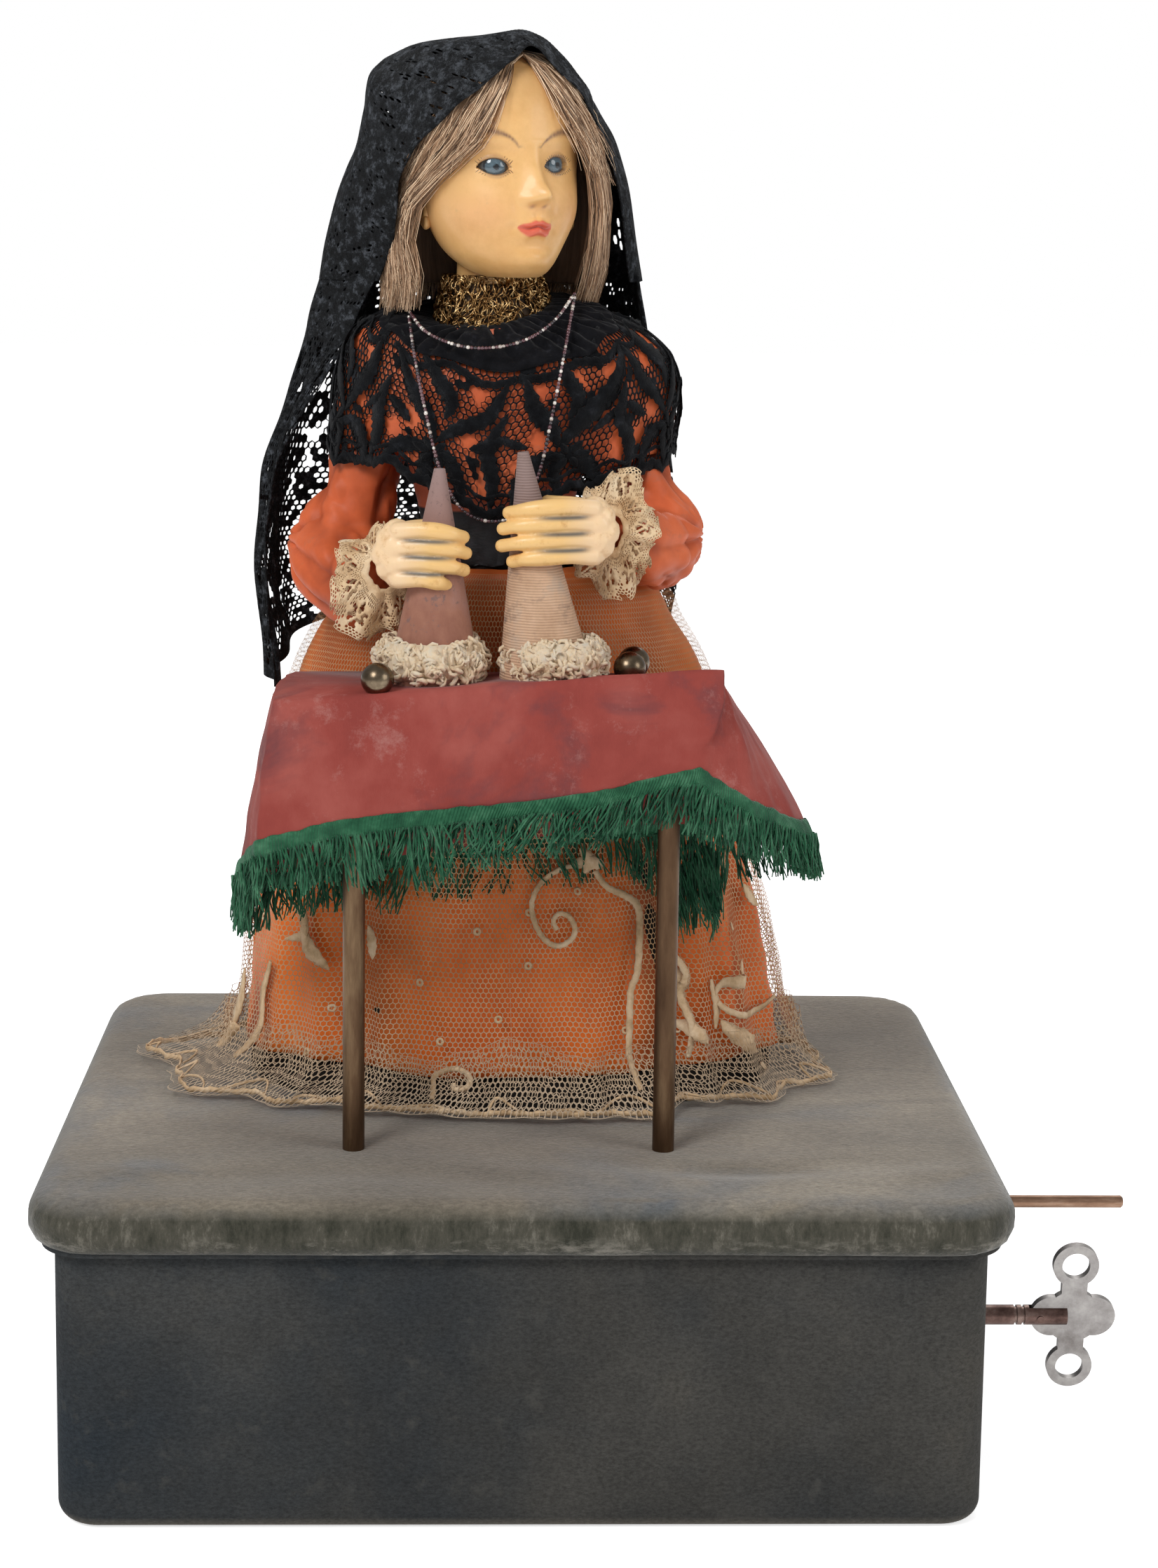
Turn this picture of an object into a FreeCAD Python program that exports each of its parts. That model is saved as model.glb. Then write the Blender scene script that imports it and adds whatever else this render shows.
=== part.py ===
"""Clockwork conjurer figure: a dressed doll behind a small cloth-covered table, on a velvet-covered box.

Millimetres. X runs to the right as seen from the front, Y to the back, Z up.
The origin is the centre of the box's underside. "left" and "right" are the viewer's.
"""
import os

import FreeCAD
import Part
from math import cos, pi, radians, sin, sqrt

V = FreeCAD.Vector
X_AXIS = V(1, 0, 0)
Y_AXIS = V(0, 1, 0)
Z_AXIS = V(0, 0, 1)

# ---- driving dimensions -------------------------------------------------------------------------
BOX_WIDTH = 280.0
BOX_DEPTH = 220.0
BOX_HEIGHT = 87.0
BOX_CORNER = 13.0          # plan radius of the vertical edges
BOX_WALL = 8.0
BOX_FOOT_RADIUS = 6.0      # the cloth is turned under round this edge
BASE_THICKNESS = 6.0

LID_OVERHANG = 7.7
LID_THICKNESS = 17.6
LID_CORNER = 20.0
PADDING = 4.0              # wadding and velvet over the lid board
LID_TOP = BOX_HEIGHT + LID_THICKNESS

RUNNING = 0.05             # radial clearance of every shaft in its bore
SOFT_GAP = 0.7             # cloth to cloth across a joint

KEY_Y = -25.0              # line of the winding arbor
KEY_Z = 34.5
KEY_REACH = 28.0           # from the wall to the bow's inboard lobe
BOW_LENGTH = 28.0          # from the inboard lobe to the outboard lobe
ROD_Z = BOX_HEIGHT - 13.6  # start and stop rod, under the lid's overhang
ROD_REACH = 57.0           # from the wall to the rod's outer end

LEG_X = (-52.5, 43.5)
LEG_Y = -64.0
LEG_RADIUS = 3.4
LEG_BORE = 2.0

TABLE_TOP = 247.0
TABLE_LEFT = -74.0
TABLE_RIGHT = 56.0
TABLE_FRONT = -77.0
TABLE_BACK = -35.0
TABLE_HEIGHT = 13.0
CLOTH = 1.2

TRICK_HOLE = 9.0           # radius of the hole in the table under each cone
TRICK_BALL = 3.8
TRICK_ARM = 1.4

CONE_X = (-28.6, 5.6)      # middle of each cone's base
CONE_TIP_X = (-27.3, -2.2)
CONE_Y = -55.0
CONE_BASE_Z = (249.6, 250.2)
CONE_TIP_Z = (314.7, 320.0)
CONE_BASE_RADIUS = (14.4, 14.6)
CONE_TIP_RADIUS = 1.7
CONE_WALL = 1.0
CONE_SKIRT = 5.0           # each cone is drawn this much longer, then trimmed level at its foot
RUFF_X = (-29.7, 8.0)
RUFF_RADIUS = (18.9, 18.2)
RUFF_HEIGHT = 15.0

HEAD_X = -11.0             # the head turns on this upright line, Y = 0
NOD_Z = 364.0
HEAD_TURN = 27.0           # the head rests turned this far to the right

SPINDLE_RADIUS = 3.0
ELBOW = (V(-55.5, -8.0, 287.0), V(37.0, -8.0, 289.0))
ELBOW_RADIUS = 17.6
PIN_RADIUS = 1.5           # the elbow's hinge pin
PIN_HALF = 8.0             # half the pin's length
LINK_WIDTH = 4.0           # wooden upper arm inside each sleeve
LINK_DEPTH = 6.0
LINK_LENGTH = 26.0
LINK_EYE = 4.0             # radius of the round end about the pin
ARM_LIFT = 20.0            # degrees, from the cone on the table to the cone raised
WRIST = (V(-46.0, -50.0, 288.0), V(25.5, -50.0, 295.5))


# ---- small helpers ------------------------------------------------------------------------------
def write(name, shape):
    shape.exportStep("parts/%s.step" % name)


def rounded_plate(width, depth, radius, bottom, top):
    """An upright block with rounded corners in plan, centred on the Z axis."""
    half_w = width / 2
    half_d = depth / 2
    block = Part.makeBox(width, depth, top - bottom, V(-half_w, -half_d, bottom))
    upright = [edge for edge in block.Edges if abs(edge.tangentAt(edge.FirstParameter).z) > 0.9]
    return block.makeFillet(radius, upright)


def edges_at(shape, height):
    """The edges that lie flat at one height."""
    return [e for e in shape.Edges
            if abs(e.BoundBox.ZMin - height) < 1e-4 and abs(e.BoundBox.ZMax - height) < 1e-4]


def ring_wire(centre, across, along, radius_a, radius_b, points):
    """A closed many-sided oval, its half-axes laid along two directions."""
    corners = []
    for k in range(points):
        angle = 2 * pi * k / points
        corners.append(centre + across * (radius_a * cos(angle)) + along * (radius_b * sin(angle)))
    return Part.makePolygon(corners + corners[:1])


def oval_loft(sections, points=18, grow=0.0):
    """A soft upright form through ovals (height, left, right, front, back)."""
    wires = []
    for height, left, right, front, back in sections:
        centre = V((left + right) / 2, (front + back) / 2, height)
        half_x = (right - left) / 2 + grow
        half_y = (back - front) / 2 + grow
        wires.append(ring_wire(centre, X_AXIS, Y_AXIS, half_x, half_y, points))
    return Part.makeLoft(wires, True, True)


def limb_loft(stations, points=16):
    """A limb through rings (centre, radius), each ring square to the line from first to last."""
    axis = (stations[-1][0] - stations[0][0]).normalize()
    across = axis.cross(Z_AXIS)
    if across.Length < 0.2:
        across = axis.cross(X_AXIS)
    across.normalize()
    along = axis.cross(across)
    wires = [ring_wire(c, across, along, r, r, points) for c, r in stations]
    return Part.makeLoft(wires, True, True)


def rod(start, end, radius):
    run = end - start
    return Part.makeCylinder(radius, run.Length, start, run)


def ball_on_hinge(centre, radius, points=24, steps=6):
    """A many-sided ball whose rings stand square to the elbow's hinge line."""
    wires = []
    for k in range(steps + 1):
        angle = pi * (k + 0.35) / (steps + 0.7)
        middle = centre + X_AXIS * (-radius * cos(angle))
        wires.append(ring_wire(middle, Y_AXIS, Z_AXIS, radius * sin(angle), radius * sin(angle), points))
    return Part.makeLoft(wires, True, True)


def front_of(sections, x, z):
    """Y of the front surface of an oval form at one place."""
    pairs = sorted(sections)
    lower = [s for s in pairs if s[0] <= z][-1]
    upper = [s for s in pairs if s[0] >= z][0]
    share = 0.0 if upper[0] == lower[0] else (z - lower[0]) / (upper[0] - lower[0])
    left, right, front, back = [a + (b - a) * share for a, b in zip(lower[1:], upper[1:])]
    across = (2 * x - left - right) / (right - left)
    return (front + back) / 2 - (back - front) / 2 * sqrt(max(0.0, 1 - across * across))


def turned(shape):
    """Turn a head piece from square-on to where the head rests."""
    return shape.rotated(V(HEAD_X, 0, 0), Z_AXIS, HEAD_TURN)


# ---- the box ------------------------------------------------------------------------------------
def make_box():
    """Four velvet-covered walls with the key and rod holes, and the board let in flush below."""
    outer = rounded_plate(BOX_WIDTH, BOX_DEPTH, BOX_CORNER, 0, BOX_HEIGHT)
    outer = outer.makeFillet(BOX_FOOT_RADIUS, edges_at(outer, 0))
    inner_w = BOX_WIDTH - 2 * BOX_WALL
    inner_d = BOX_DEPTH - 2 * BOX_WALL
    hollow = Part.makeBox(inner_w, inner_d, BOX_HEIGHT + 2, V(-inner_w / 2, -inner_d / 2, -1))
    carcass = outer.cut(hollow)
    wall_in = V(inner_w / 2 - 1, KEY_Y, KEY_Z)
    wall_out = V(BOX_WIDTH / 2 + 1, KEY_Y, KEY_Z)
    rise = V(0, 0, ROD_Z - KEY_Z)
    carcass = carcass.cut(rod(wall_in, wall_out, SHANK_RADIUS + 1.0))
    carcass = carcass.cut(rod(wall_in + rise, wall_out + rise, ROD_RADIUS + RUNNING))
    for name, x, y, width, depth in (("front", -BOX_WIDTH / 2, -BOX_DEPTH / 2, BOX_WIDTH, BOX_WALL),
                                     ("back", -BOX_WIDTH / 2, inner_d / 2, BOX_WIDTH, BOX_WALL),
                                     ("left", -BOX_WIDTH / 2, -inner_d / 2, BOX_WALL, inner_d),
                                     ("right", inner_w / 2, -inner_d / 2, BOX_WALL, inner_d)):
        board = Part.makeBox(width, depth, BOX_HEIGHT + 2, V(x, y, -1))
        write("box_" + name, carcass.common(board))
    write("base_board", Part.makeBox(inner_w, inner_d, BASE_THICKNESS, V(-inner_w / 2, -inner_d / 2, 0)))


def make_lid():
    """Board over the carcass, and the padded velvet cushion that wraps it."""
    full_w = BOX_WIDTH + 2 * LID_OVERHANG
    full_d = BOX_DEPTH + 2 * LID_OVERHANG
    board = rounded_plate(full_w - 2 * PADDING, full_d - 2 * PADDING, LID_CORNER - PADDING,
                          BOX_HEIGHT, LID_TOP - 2 * PADDING)
    cover = rounded_plate(full_w, full_d, LID_CORNER, BOX_HEIGHT, LID_TOP)
    cover = cover.makeFillet(8.0, edges_at(cover, LID_TOP))
    cover = cover.makeFillet(4.5, edges_at(cover, BOX_HEIGHT))
    cover = cover.cut(board)
    bores = [rod(V(HEAD_X, 0, BOX_HEIGHT - 1), V(HEAD_X, 0, LID_TOP + 1), SPINDLE_RADIUS + RUNNING)]
    for x in LEG_X:
        bores.append(rod(V(x, LEG_Y, BOX_HEIGHT - 1), V(x, LEG_Y, LID_TOP + 1), LEG_RADIUS))
    for bore in bores:
        board = board.cut(bore)
        cover = cover.cut(bore)
    write("lid_board", board)
    write("lid_cover", cover)


# ---- the key and the start rod ------------------------------------------------------------------
SHANK_RADIUS = 3.25
ARBOR_RADIUS = 3.0
ROD_RADIUS = 2.0
BOW_INNER = BOX_WIDTH / 2 + KEY_REACH
BOW_OUTER = BOW_INNER + BOW_LENGTH
BOW_RING = 7.5
BOW_HOLE = 4.6
BOW_SPREAD = 18.4          # ring centres to the arbor line
BOW_THICKNESS = 2.4
BOW_LEAN = 8.0             # degrees


def make_key():
    """Stamped bow with two finger rings, riveted across a grooved shank."""
    middle = (BOW_INNER + BOW_OUTER) / 2
    flat = Part.makeCylinder(9.2, BOW_THICKNESS, V(middle, BOW_THICKNESS / 2, 0), V(0, -1, 0))
    for side in (-1, 1):
        lobe_x = middle + side * (BOW_LENGTH / 2 - 7.0)
        lobe = Part.makeCylinder(7.0, BOW_THICKNESS, V(lobe_x, BOW_THICKNESS / 2, 0), V(0, -1, 0))
        ring = Part.makeCylinder(BOW_RING, BOW_THICKNESS,
                                 V(middle, BOW_THICKNESS / 2, side * BOW_SPREAD), V(0, -1, 0))
        neck = Part.makeBox(8.4, BOW_THICKNESS, 9.0, V(middle - 4.2, -BOW_THICKNESS / 2, -4.5))
        neck.translate(V(0, 0, side * 10.5))
        flat = flat.fuse([lobe, ring, neck])
    for side in (-1, 1):
        flat = flat.cut(rod(V(middle, -3, side * BOW_SPREAD), V(middle, 3, side * BOW_SPREAD), BOW_HOLE))
    shank_end = middle - 2.0
    shank = rod(V(BOX_WIDTH / 2 - 1.5, 0, 0), V(shank_end, 0, 0), SHANK_RADIUS)
    slot = Part.makeBox(40, BOW_THICKNESS, 20, V(BOW_INNER - 0.5, -BOW_THICKNESS / 2, -10))
    shank = shank.cut(slot)
    for x in (BOW_INNER - 5.5, BOW_INNER - 3.0):
        groove = rod(V(x, 0, 0), V(x + 1.0, 0, 0), 9).cut(rod(V(x, 0, 0), V(x + 1.0, 0, 0), SHANK_RADIUS - 0.6))
        shank = shank.cut(groove)
    flat = flat.cut(Part.makeBox(6, 8, 30, V(BOW_INNER - 8, -4, -15)))
    rivet = rod(V(BOW_INNER + 3.0, -SHANK_RADIUS - 0.3, 0), V(BOW_INNER + 3.0, SHANK_RADIUS + 0.3, 0), 1.2)
    flat = flat.cut(rivet)
    shank = shank.cut(rivet).fuse(rivet)
    arbor = rod(V(PLATES[0][0] - 4, 0, 0), V(BOX_WIDTH / 2 - 1.5, 0, 0), ARBOR_RADIUS)
    for name, shape in (("key_bow", flat), ("key_shank", shank), ("winding_arbor", arbor)):
        shape.rotate(V(0, 0, 0), X_AXIS, BOW_LEAN)
        shape.translate(V(0, KEY_Y, KEY_Z))
        write(name, shape)


def make_start_rod():
    """Plain brass wire rod with a chamfered end and a stop block inside the wall."""
    start = BOX_WIDTH / 2 - 50.0
    end = BOX_WIDTH / 2 + ROD_REACH
    wire = rod(V(start, KEY_Y, ROD_Z), V(end, KEY_Y, ROD_Z), ROD_RADIUS)
    rim = [e for e in wire.Edges if abs(e.BoundBox.XMin - end) < 1e-4 and abs(e.BoundBox.XMax - end) < 1e-4]
    wire = wire.makeChamfer(0.6, rim)
    stop = BOX_WIDTH / 2 - 26.0
    collar = rod(V(stop, KEY_Y, ROD_Z), V(stop + 4, KEY_Y, ROD_Z), 4.2)
    write("start_stop_rod", wire.fuse(collar).removeSplitter())


# ---- the clockwork ------------------------------------------------------------------------------
MODULE = 1.0
GREAT_TEETH = 52
PINION_TEETH = 12
SECOND_TEETH = 40
CAM_TEETH = 45
FLY_TEETH = 8
PLATES = ((78.0, 80.0), (116.0, 118.0))
BARREL = (84.0, 103.0)     # along the arbor
BARREL_RADIUS = 21.5
ARBOR_2_Y = KEY_Y + MODULE * (GREAT_TEETH + PINION_TEETH) / 2
CAM_Y = ARBOR_2_Y + MODULE * (SECOND_TEETH + CAM_TEETH) / 2
FLY_RUN = MODULE * (SECOND_TEETH + FLY_TEETH) / 2
FLY_Y = ARBOR_2_Y + FLY_RUN * cos(radians(60))
FLY_Z = KEY_Z + FLY_RUN * sin(radians(60))
SECOND_RADIUS = 1.5
CAM_RADIUS = 2.0
FLY_RADIUS = 1.0
CAMSHAFT_LEFT = -62.0
CAMS = ((-50, 12, 17), (-26, 11, 16), (-8, 10, 17), (10, 12, 16), (38, 11, 17))   # x, low and high radius


def gear(teeth, start, end, y, z, phase, bore, pinion=False):
    """A clock wheel on an axis along X: teeth with sloping flanks and rounded-off tips."""
    pitch = MODULE * teeth / 2
    if pinion:
        steps = ((pitch - 1.35 * MODULE, 0.150), (pitch, 0.175), (pitch + 0.45 * MODULE, 0.135),
                 (pitch + 0.75 * MODULE, 0.060))
    else:
        steps = ((pitch - 1.15 * MODULE, 0.290), (pitch, 0.225), (pitch + 0.5 * MODULE, 0.150),
                 (pitch + 0.85 * MODULE, 0.060))
    corners = []
    for k in range(teeth):
        middle = phase + 2 * pi * k / teeth
        flank = [(radius, share * 2 * pi / teeth) for radius, share in steps]
        for radius, half in flank:
            corners.append(V(start, y + radius * cos(middle - half), z + radius * sin(middle - half)))
        for radius, half in reversed(flank):
            corners.append(V(start, y + radius * cos(middle + half), z + radius * sin(middle + half)))
    blank = Part.Face(Part.makePolygon(corners + corners[:1])).extrude(V(end - start, 0, 0))
    if bore:
        blank = blank.cut(rod(V(start - 1, y, z), V(end + 1, y, z), bore))
    return blank


def meshed_phase(teeth, phase, direction, other_teeth):
    """Phase of a wheel in mesh with another that lies in the given direction from the first one's centre."""
    return direction + pi - (phase - direction) * teeth / other_teeth + pi / other_teeth


def crossed_out(wheel, start, end, y, z, hub, rim, spokes):
    """Open the web of a wheel between its spokes."""
    ring = rod(V(start - 1, y, z), V(end + 1, y, z), rim).cut(rod(V(start - 1, y, z), V(end + 1, y, z), hub))
    for k in range(spokes):
        arm = Part.makeBox(end - start + 4, rim + 1, 3.0, V(start - 2, 0, -1.5))
        arm.rotate(V(0, 0, 0), X_AXIS, 360.0 * k / spokes)
        arm.translate(V(0, y, z))
        ring = ring.cut(arm)
    return wheel.cut(ring)


def make_motor():
    """Two plates on pillars; spring barrel, second arbor, camshaft and fly between them."""
    low = -58.0
    high = CAM_Y + 18
    pivots = ((KEY_Y, KEY_Z, ARBOR_RADIUS), (ARBOR_2_Y, KEY_Z, SECOND_RADIUS), (CAM_Y, KEY_Z, CAM_RADIUS),
              (FLY_Y, FLY_Z, FLY_RADIUS))
    pillars = [(low + 6, 12), (low + 6, 60), (high - 5, 62), (high - 5, 11)]
    frame = None
    for start, end in PLATES:
        plate = Part.makeBox(end - start, high - low, 62, V(start, low, BASE_THICKNESS))
        for y, z, radius in pivots:
            plate = plate.cut(rod(V(start - 1, y, z), V(end + 1, y, z), radius + RUNNING))
        frame = plate if frame is None else frame.fuse(plate)
    for y, z in pillars:
        frame = frame.fuse(rod(V(PLATES[0][1], y, z), V(PLATES[1][0], y, z), 2.5))
    write("motor_frame", frame)

    barrel = rod(V(BARREL[0], KEY_Y, KEY_Z), V(BARREL[1], KEY_Y, KEY_Z), BARREL_RADIUS)
    barrel = barrel.cut(rod(V(BARREL[0] - 1, KEY_Y, KEY_Z), V(BARREL[1] + 1, KEY_Y, KEY_Z), ARBOR_RADIUS + RUNNING))
    great = gear(GREAT_TEETH, 103, 106, KEY_Y, KEY_Z, 0.0, ARBOR_RADIUS + RUNNING)
    write("spring_barrel", barrel)
    write("great_wheel", great)

    pinion_phase = meshed_phase(GREAT_TEETH, 0.0, 0.0, PINION_TEETH)
    arbor = rod(V(76, ARBOR_2_Y, KEY_Z), V(120, ARBOR_2_Y, KEY_Z), SECOND_RADIUS)
    pinion = gear(PINION_TEETH, 101, 107.5, ARBOR_2_Y, KEY_Z, pinion_phase, 0, True)
    wheel = gear(SECOND_TEETH, 110, 112.5, ARBOR_2_Y, KEY_Z, 0.0, 0)
    wheel = crossed_out(wheel, 110, 112.5, ARBOR_2_Y, KEY_Z, 4.5, 15.5, 5)
    write("second_arbor", arbor.fuse([pinion, wheel]))

    shaft = rod(V(CAMSHAFT_LEFT - 6, CAM_Y, KEY_Z), V(120, CAM_Y, KEY_Z), CAM_RADIUS)
    cam_phase = meshed_phase(SECOND_TEETH, 0.0, 0.0, CAM_TEETH)
    wheel = gear(CAM_TEETH, 110, 112.5, CAM_Y, KEY_Z, cam_phase, CAM_RADIUS)
    wheel = crossed_out(wheel, 110, 112.5, CAM_Y, KEY_Z, 5.0, 18.0, 5)
    write("camshaft", shaft)
    write("cam_wheel", wheel)
    cams = [make_cam(x, low_r, high_r, 70.0 * k) for k, (x, low_r, high_r) in enumerate(CAMS)]
    write("cams", Part.makeCompound(cams))

    fly = rod(V(76, FLY_Y, FLY_Z), V(120, FLY_Y, FLY_Z), FLY_RADIUS)
    fly_phase = meshed_phase(SECOND_TEETH, 0.0, radians(60), FLY_TEETH)
    fly_pinion = gear(FLY_TEETH, 109.5, 113, FLY_Y, FLY_Z, fly_phase, 0, True)
    vane = Part.makeBox(12, 18, 0.8, V(86, FLY_Y - 9, FLY_Z - 0.4))
    write("fly", fly.fuse([fly_pinion, vane]))


def make_cam(x, low_r, high_r, turn):
    """A disc with one smooth lobe, on the camshaft."""
    corners = []
    for k in range(28):
        angle = 2 * pi * k / 28
        lift = max(0.0, cos(angle)) ** 1.5
        radius = low_r + (high_r - low_r) * lift
        corners.append(V(x, CAM_Y + radius * cos(angle + radians(turn)), KEY_Z + radius * sin(angle + radians(turn))))
    disc = Part.Face(Part.makePolygon(corners + corners[:1])).extrude(V(3, 0, 0))
    return disc.cut(rod(V(x - 1, CAM_Y, KEY_Z), V(x + 4, CAM_Y, KEY_Z), CAM_RADIUS))


def make_bearing():
    """Bracket on the base board that carries the camshaft's far end."""
    post = Part.makeBox(4, 20, KEY_Z + 6 - BASE_THICKNESS, V(CAMSHAFT_LEFT - 4, CAM_Y - 10, BASE_THICKNESS))
    foot = Part.makeBox(14, 30, 2, V(CAMSHAFT_LEFT - 4, CAM_Y - 15, BASE_THICKNESS))
    bore = rod(V(CAMSHAFT_LEFT - 6, CAM_Y, KEY_Z), V(CAMSHAFT_LEFT + 2, CAM_Y, KEY_Z), CAM_RADIUS + RUNNING)
    write("camshaft_bracket", post.fuse(foot).cut(bore))


def make_spindle():
    """Head spindle from its crank under the lid up into the neck."""
    spindle = rod(V(HEAD_X, 0, 70), V(HEAD_X, 0, NOD_Z - 3), SPINDLE_RADIUS)
    crank = Part.makeBox(8, 24, 4, V(HEAD_X - 4, 0, 74)).fuse(rod(V(HEAD_X, 0, 74), V(HEAD_X, 0, 78), 6))
    finger = rod(V(HEAD_X, 20, 60), V(HEAD_X, 20, 76), 1.5)
    eye = rod(V(HEAD_X - SPINDLE_RADIUS - 2, 0, NOD_Z), V(HEAD_X + SPINDLE_RADIUS + 2, 0, NOD_Z), NOD_PIN)
    fork = Part.makeBox(3.0, 5.2, 8, V(HEAD_X - 1.5, -2.6, NOD_Z - 4))
    write("head_spindle", spindle.fuse([crank, finger, turned(fork.fuse(eye))]))


def make_tricks():
    """Under each cone a ball on a lifting rod that runs up inside the leg."""
    floor = TABLE_TOP - TABLE_HEIGHT + 2
    for name, leg_x, cone_x in zip(("left", "right"), LEG_X, CONE_X):
        lifter = rod(V(leg_x, LEG_Y, 66), V(leg_x, LEG_Y, floor + 1.5), LEG_BORE - 2 * RUNNING)
        arm = Part.makeBox(abs(cone_x - leg_x) + 3, 3, TRICK_ARM, V(min(cone_x, leg_x) - 1.5, -1.5, 0))
        angle = (CONE_Y - LEG_Y) / (cone_x - leg_x) * 180 / pi
        arm.rotate(V(leg_x, 0, 0), Z_AXIS, angle)
        arm.translate(V(0, LEG_Y, floor + 0.1))
        ball = Part.makeSphere(TRICK_BALL, V(cone_x, CONE_Y, floor + TRICK_ARM + TRICK_BALL - 0.5))
        write("trick_" + name, lifter.fuse(arm).fuse(ball))


NOD_PIN = 1.2


# ---- the table ----------------------------------------------------------------------------------
BALL_RADIUS = 5.0
BALLS = ((-45.2, -74.2), (31.4, -49.4), (33.2, -38.6))
CLOTH_EDGE_Z = 203.0       # the cloth's lower edge at its front left corner
CLOTH_SLOPE_X = 0.134      # the edge rises to the right and falls to the back
CLOTH_SLOPE_Y = 0.48
FRINGE_LENGTH = 14.0


def hanging(grow, top, fall):
    """The cloth's hanging outline: square on the tray, spread and slanting at its lower edge."""
    left = TABLE_LEFT - grow
    right = TABLE_RIGHT + grow
    front = TABLE_FRONT - grow
    back = TABLE_BACK + grow
    head = [V(left, front, top), V(right, front, top), V(right, back, top), V(left, back, top)]
    foot = []
    for x, y in ((left - 9.0, front - 2.5), (right + 1.0, front - 2.5), (right + 36.0, back), (left - 9.0, back)):
        edge = CLOTH_EDGE_Z + CLOTH_SLOPE_X * (x - left) - CLOTH_SLOPE_Y * (y - front)
        foot.append(V(x, y, edge - fall))
    return Part.makeLoft([Part.makePolygon(w + w[:1]) for w in (head, foot)], True, True)


def make_table():
    """Shallow hollow tray on two brass tubes, its top pierced under each cone."""
    size = (TABLE_RIGHT - TABLE_LEFT, TABLE_BACK - TABLE_FRONT)
    bottom = TABLE_TOP - TABLE_HEIGHT
    tray = Part.makeBox(size[0], size[1], TABLE_HEIGHT, V(TABLE_LEFT, TABLE_FRONT, bottom))
    room = Part.makeBox(size[0] - 4, size[1] - 4, TABLE_HEIGHT - 4, V(TABLE_LEFT + 2, TABLE_FRONT + 2, bottom + 2))
    tray = tray.cut(room)
    cloth = hanging(CLOTH, TABLE_TOP + CLOTH, 0).cut(hanging(0, TABLE_TOP, 1))
    below = Part.makeBox(400, 200, 200, V(-200, -150, TABLE_TOP - 220))
    fringe = hanging(CLOTH, TABLE_TOP + CLOTH, FRINGE_LENGTH).cut(hanging(0, TABLE_TOP, FRINGE_LENGTH + 1))
    fringe = fringe.common(below).cut(hanging(CLOTH, TABLE_TOP + CLOTH, 0))
    fringe = max(fringe.Solids, key=lambda s: s.Volume)
    for cone_x, leg_x in zip(CONE_X, LEG_X):
        hole = rod(V(cone_x, CONE_Y, TABLE_TOP - 3), V(cone_x, CONE_Y, TABLE_TOP + 3), TRICK_HOLE)
        tray = tray.cut(hole)
        cloth = cloth.cut(hole)
        tray = tray.cut(rod(V(leg_x, LEG_Y, bottom - 1), V(leg_x, LEG_Y, bottom + 3), LEG_RADIUS))
    write("table_tray", tray)
    write("tablecloth", cloth)
    write("cloth_fringe", fringe)


def make_legs():
    """Each leg is a tube from the lid board up into the tray's floor."""
    for name, x in zip(("left", "right"), LEG_X):
        foot = V(x, LEG_Y, BOX_HEIGHT)
        head = V(x, LEG_Y, TABLE_TOP - TABLE_HEIGHT + 2)
        write("table_leg_" + name, rod(foot, head, LEG_RADIUS).cut(rod(foot, head, LEG_BORE)))


def make_balls():
    """Bronze balls that sit on the cloth beside the cones."""
    centres = [V(x, y, TABLE_TOP + CLOTH + BALL_RADIUS) for x, y in BALLS]
    write("table_balls", Part.makeCompound([Part.makeSphere(BALL_RADIUS, c) for c in centres]))


# ---- the dressed figure -------------------------------------------------------------------------
SKIRT = ((117, -92, 86, -30.5, 70), (165, -87, 77, -30.5, 66), (205, -80, 66, -30, 55),
         (243, -71, 53, -29.5, 42), (263, -55, 36, -29, 30), (280, -32, 12, -26, 16))
HEM = ((LID_TOP, -112, 99, -33, 79), (117, -94, 88, -32, 72))
NET = 1.2
SATIN = 1.6
BODICE = ((280, -32, 12, -26, 16), (300, -36, 16, -27, 16), (325, -43, 22, -28, 17),
          (345, -41, 20, -25, 16), (356, -31, 9, -19, 15))
CAPE = ((304, -63, 44, -35, 21), (318, -62, 43, -34, 21), (338, -56, 37, -31, 21),
        (352, -44, 23, -24, 18), (360, -34, 12, -20, 16))
CAPE_LACE = 1.2


def spindle_bore(bottom, top):
    return rod(V(HEAD_X, 0, bottom), V(HEAD_X, 0, top), SPINDLE_RADIUS + RUNNING)


def make_skirts():
    """Stuffed lower body, the satin skirt over it and the net skirt that trails on the lid."""
    foot = (LID_TOP,) + SKIRT[0][1:]
    form = oval_loft((foot,) + SKIRT, grow=-SATIN)
    satin = oval_loft(SKIRT).cut(form)
    net = oval_loft(HEM).fuse(oval_loft(SKIRT, grow=NET)).removeSplitter()
    trail = Part.makeLoft([Part.makePolygon([V(-129, 12, z), V(-96, -34, z), V(-70, 40, z), V(-129, 12, z)])
                           for z in (LID_TOP, LID_TOP + 2)], True, True)
    net = net.fuse(trail).cut(form.fuse(satin)).common(Part.makeBox(400, 300, 159, V(-200, -150, LID_TOP)))
    bore = spindle_bore(LID_TOP - 1, 300)
    write("lower_body_form", form.cut(bore))
    write("underskirt", satin)
    write("net_overskirt", net.cut(bore))


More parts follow.
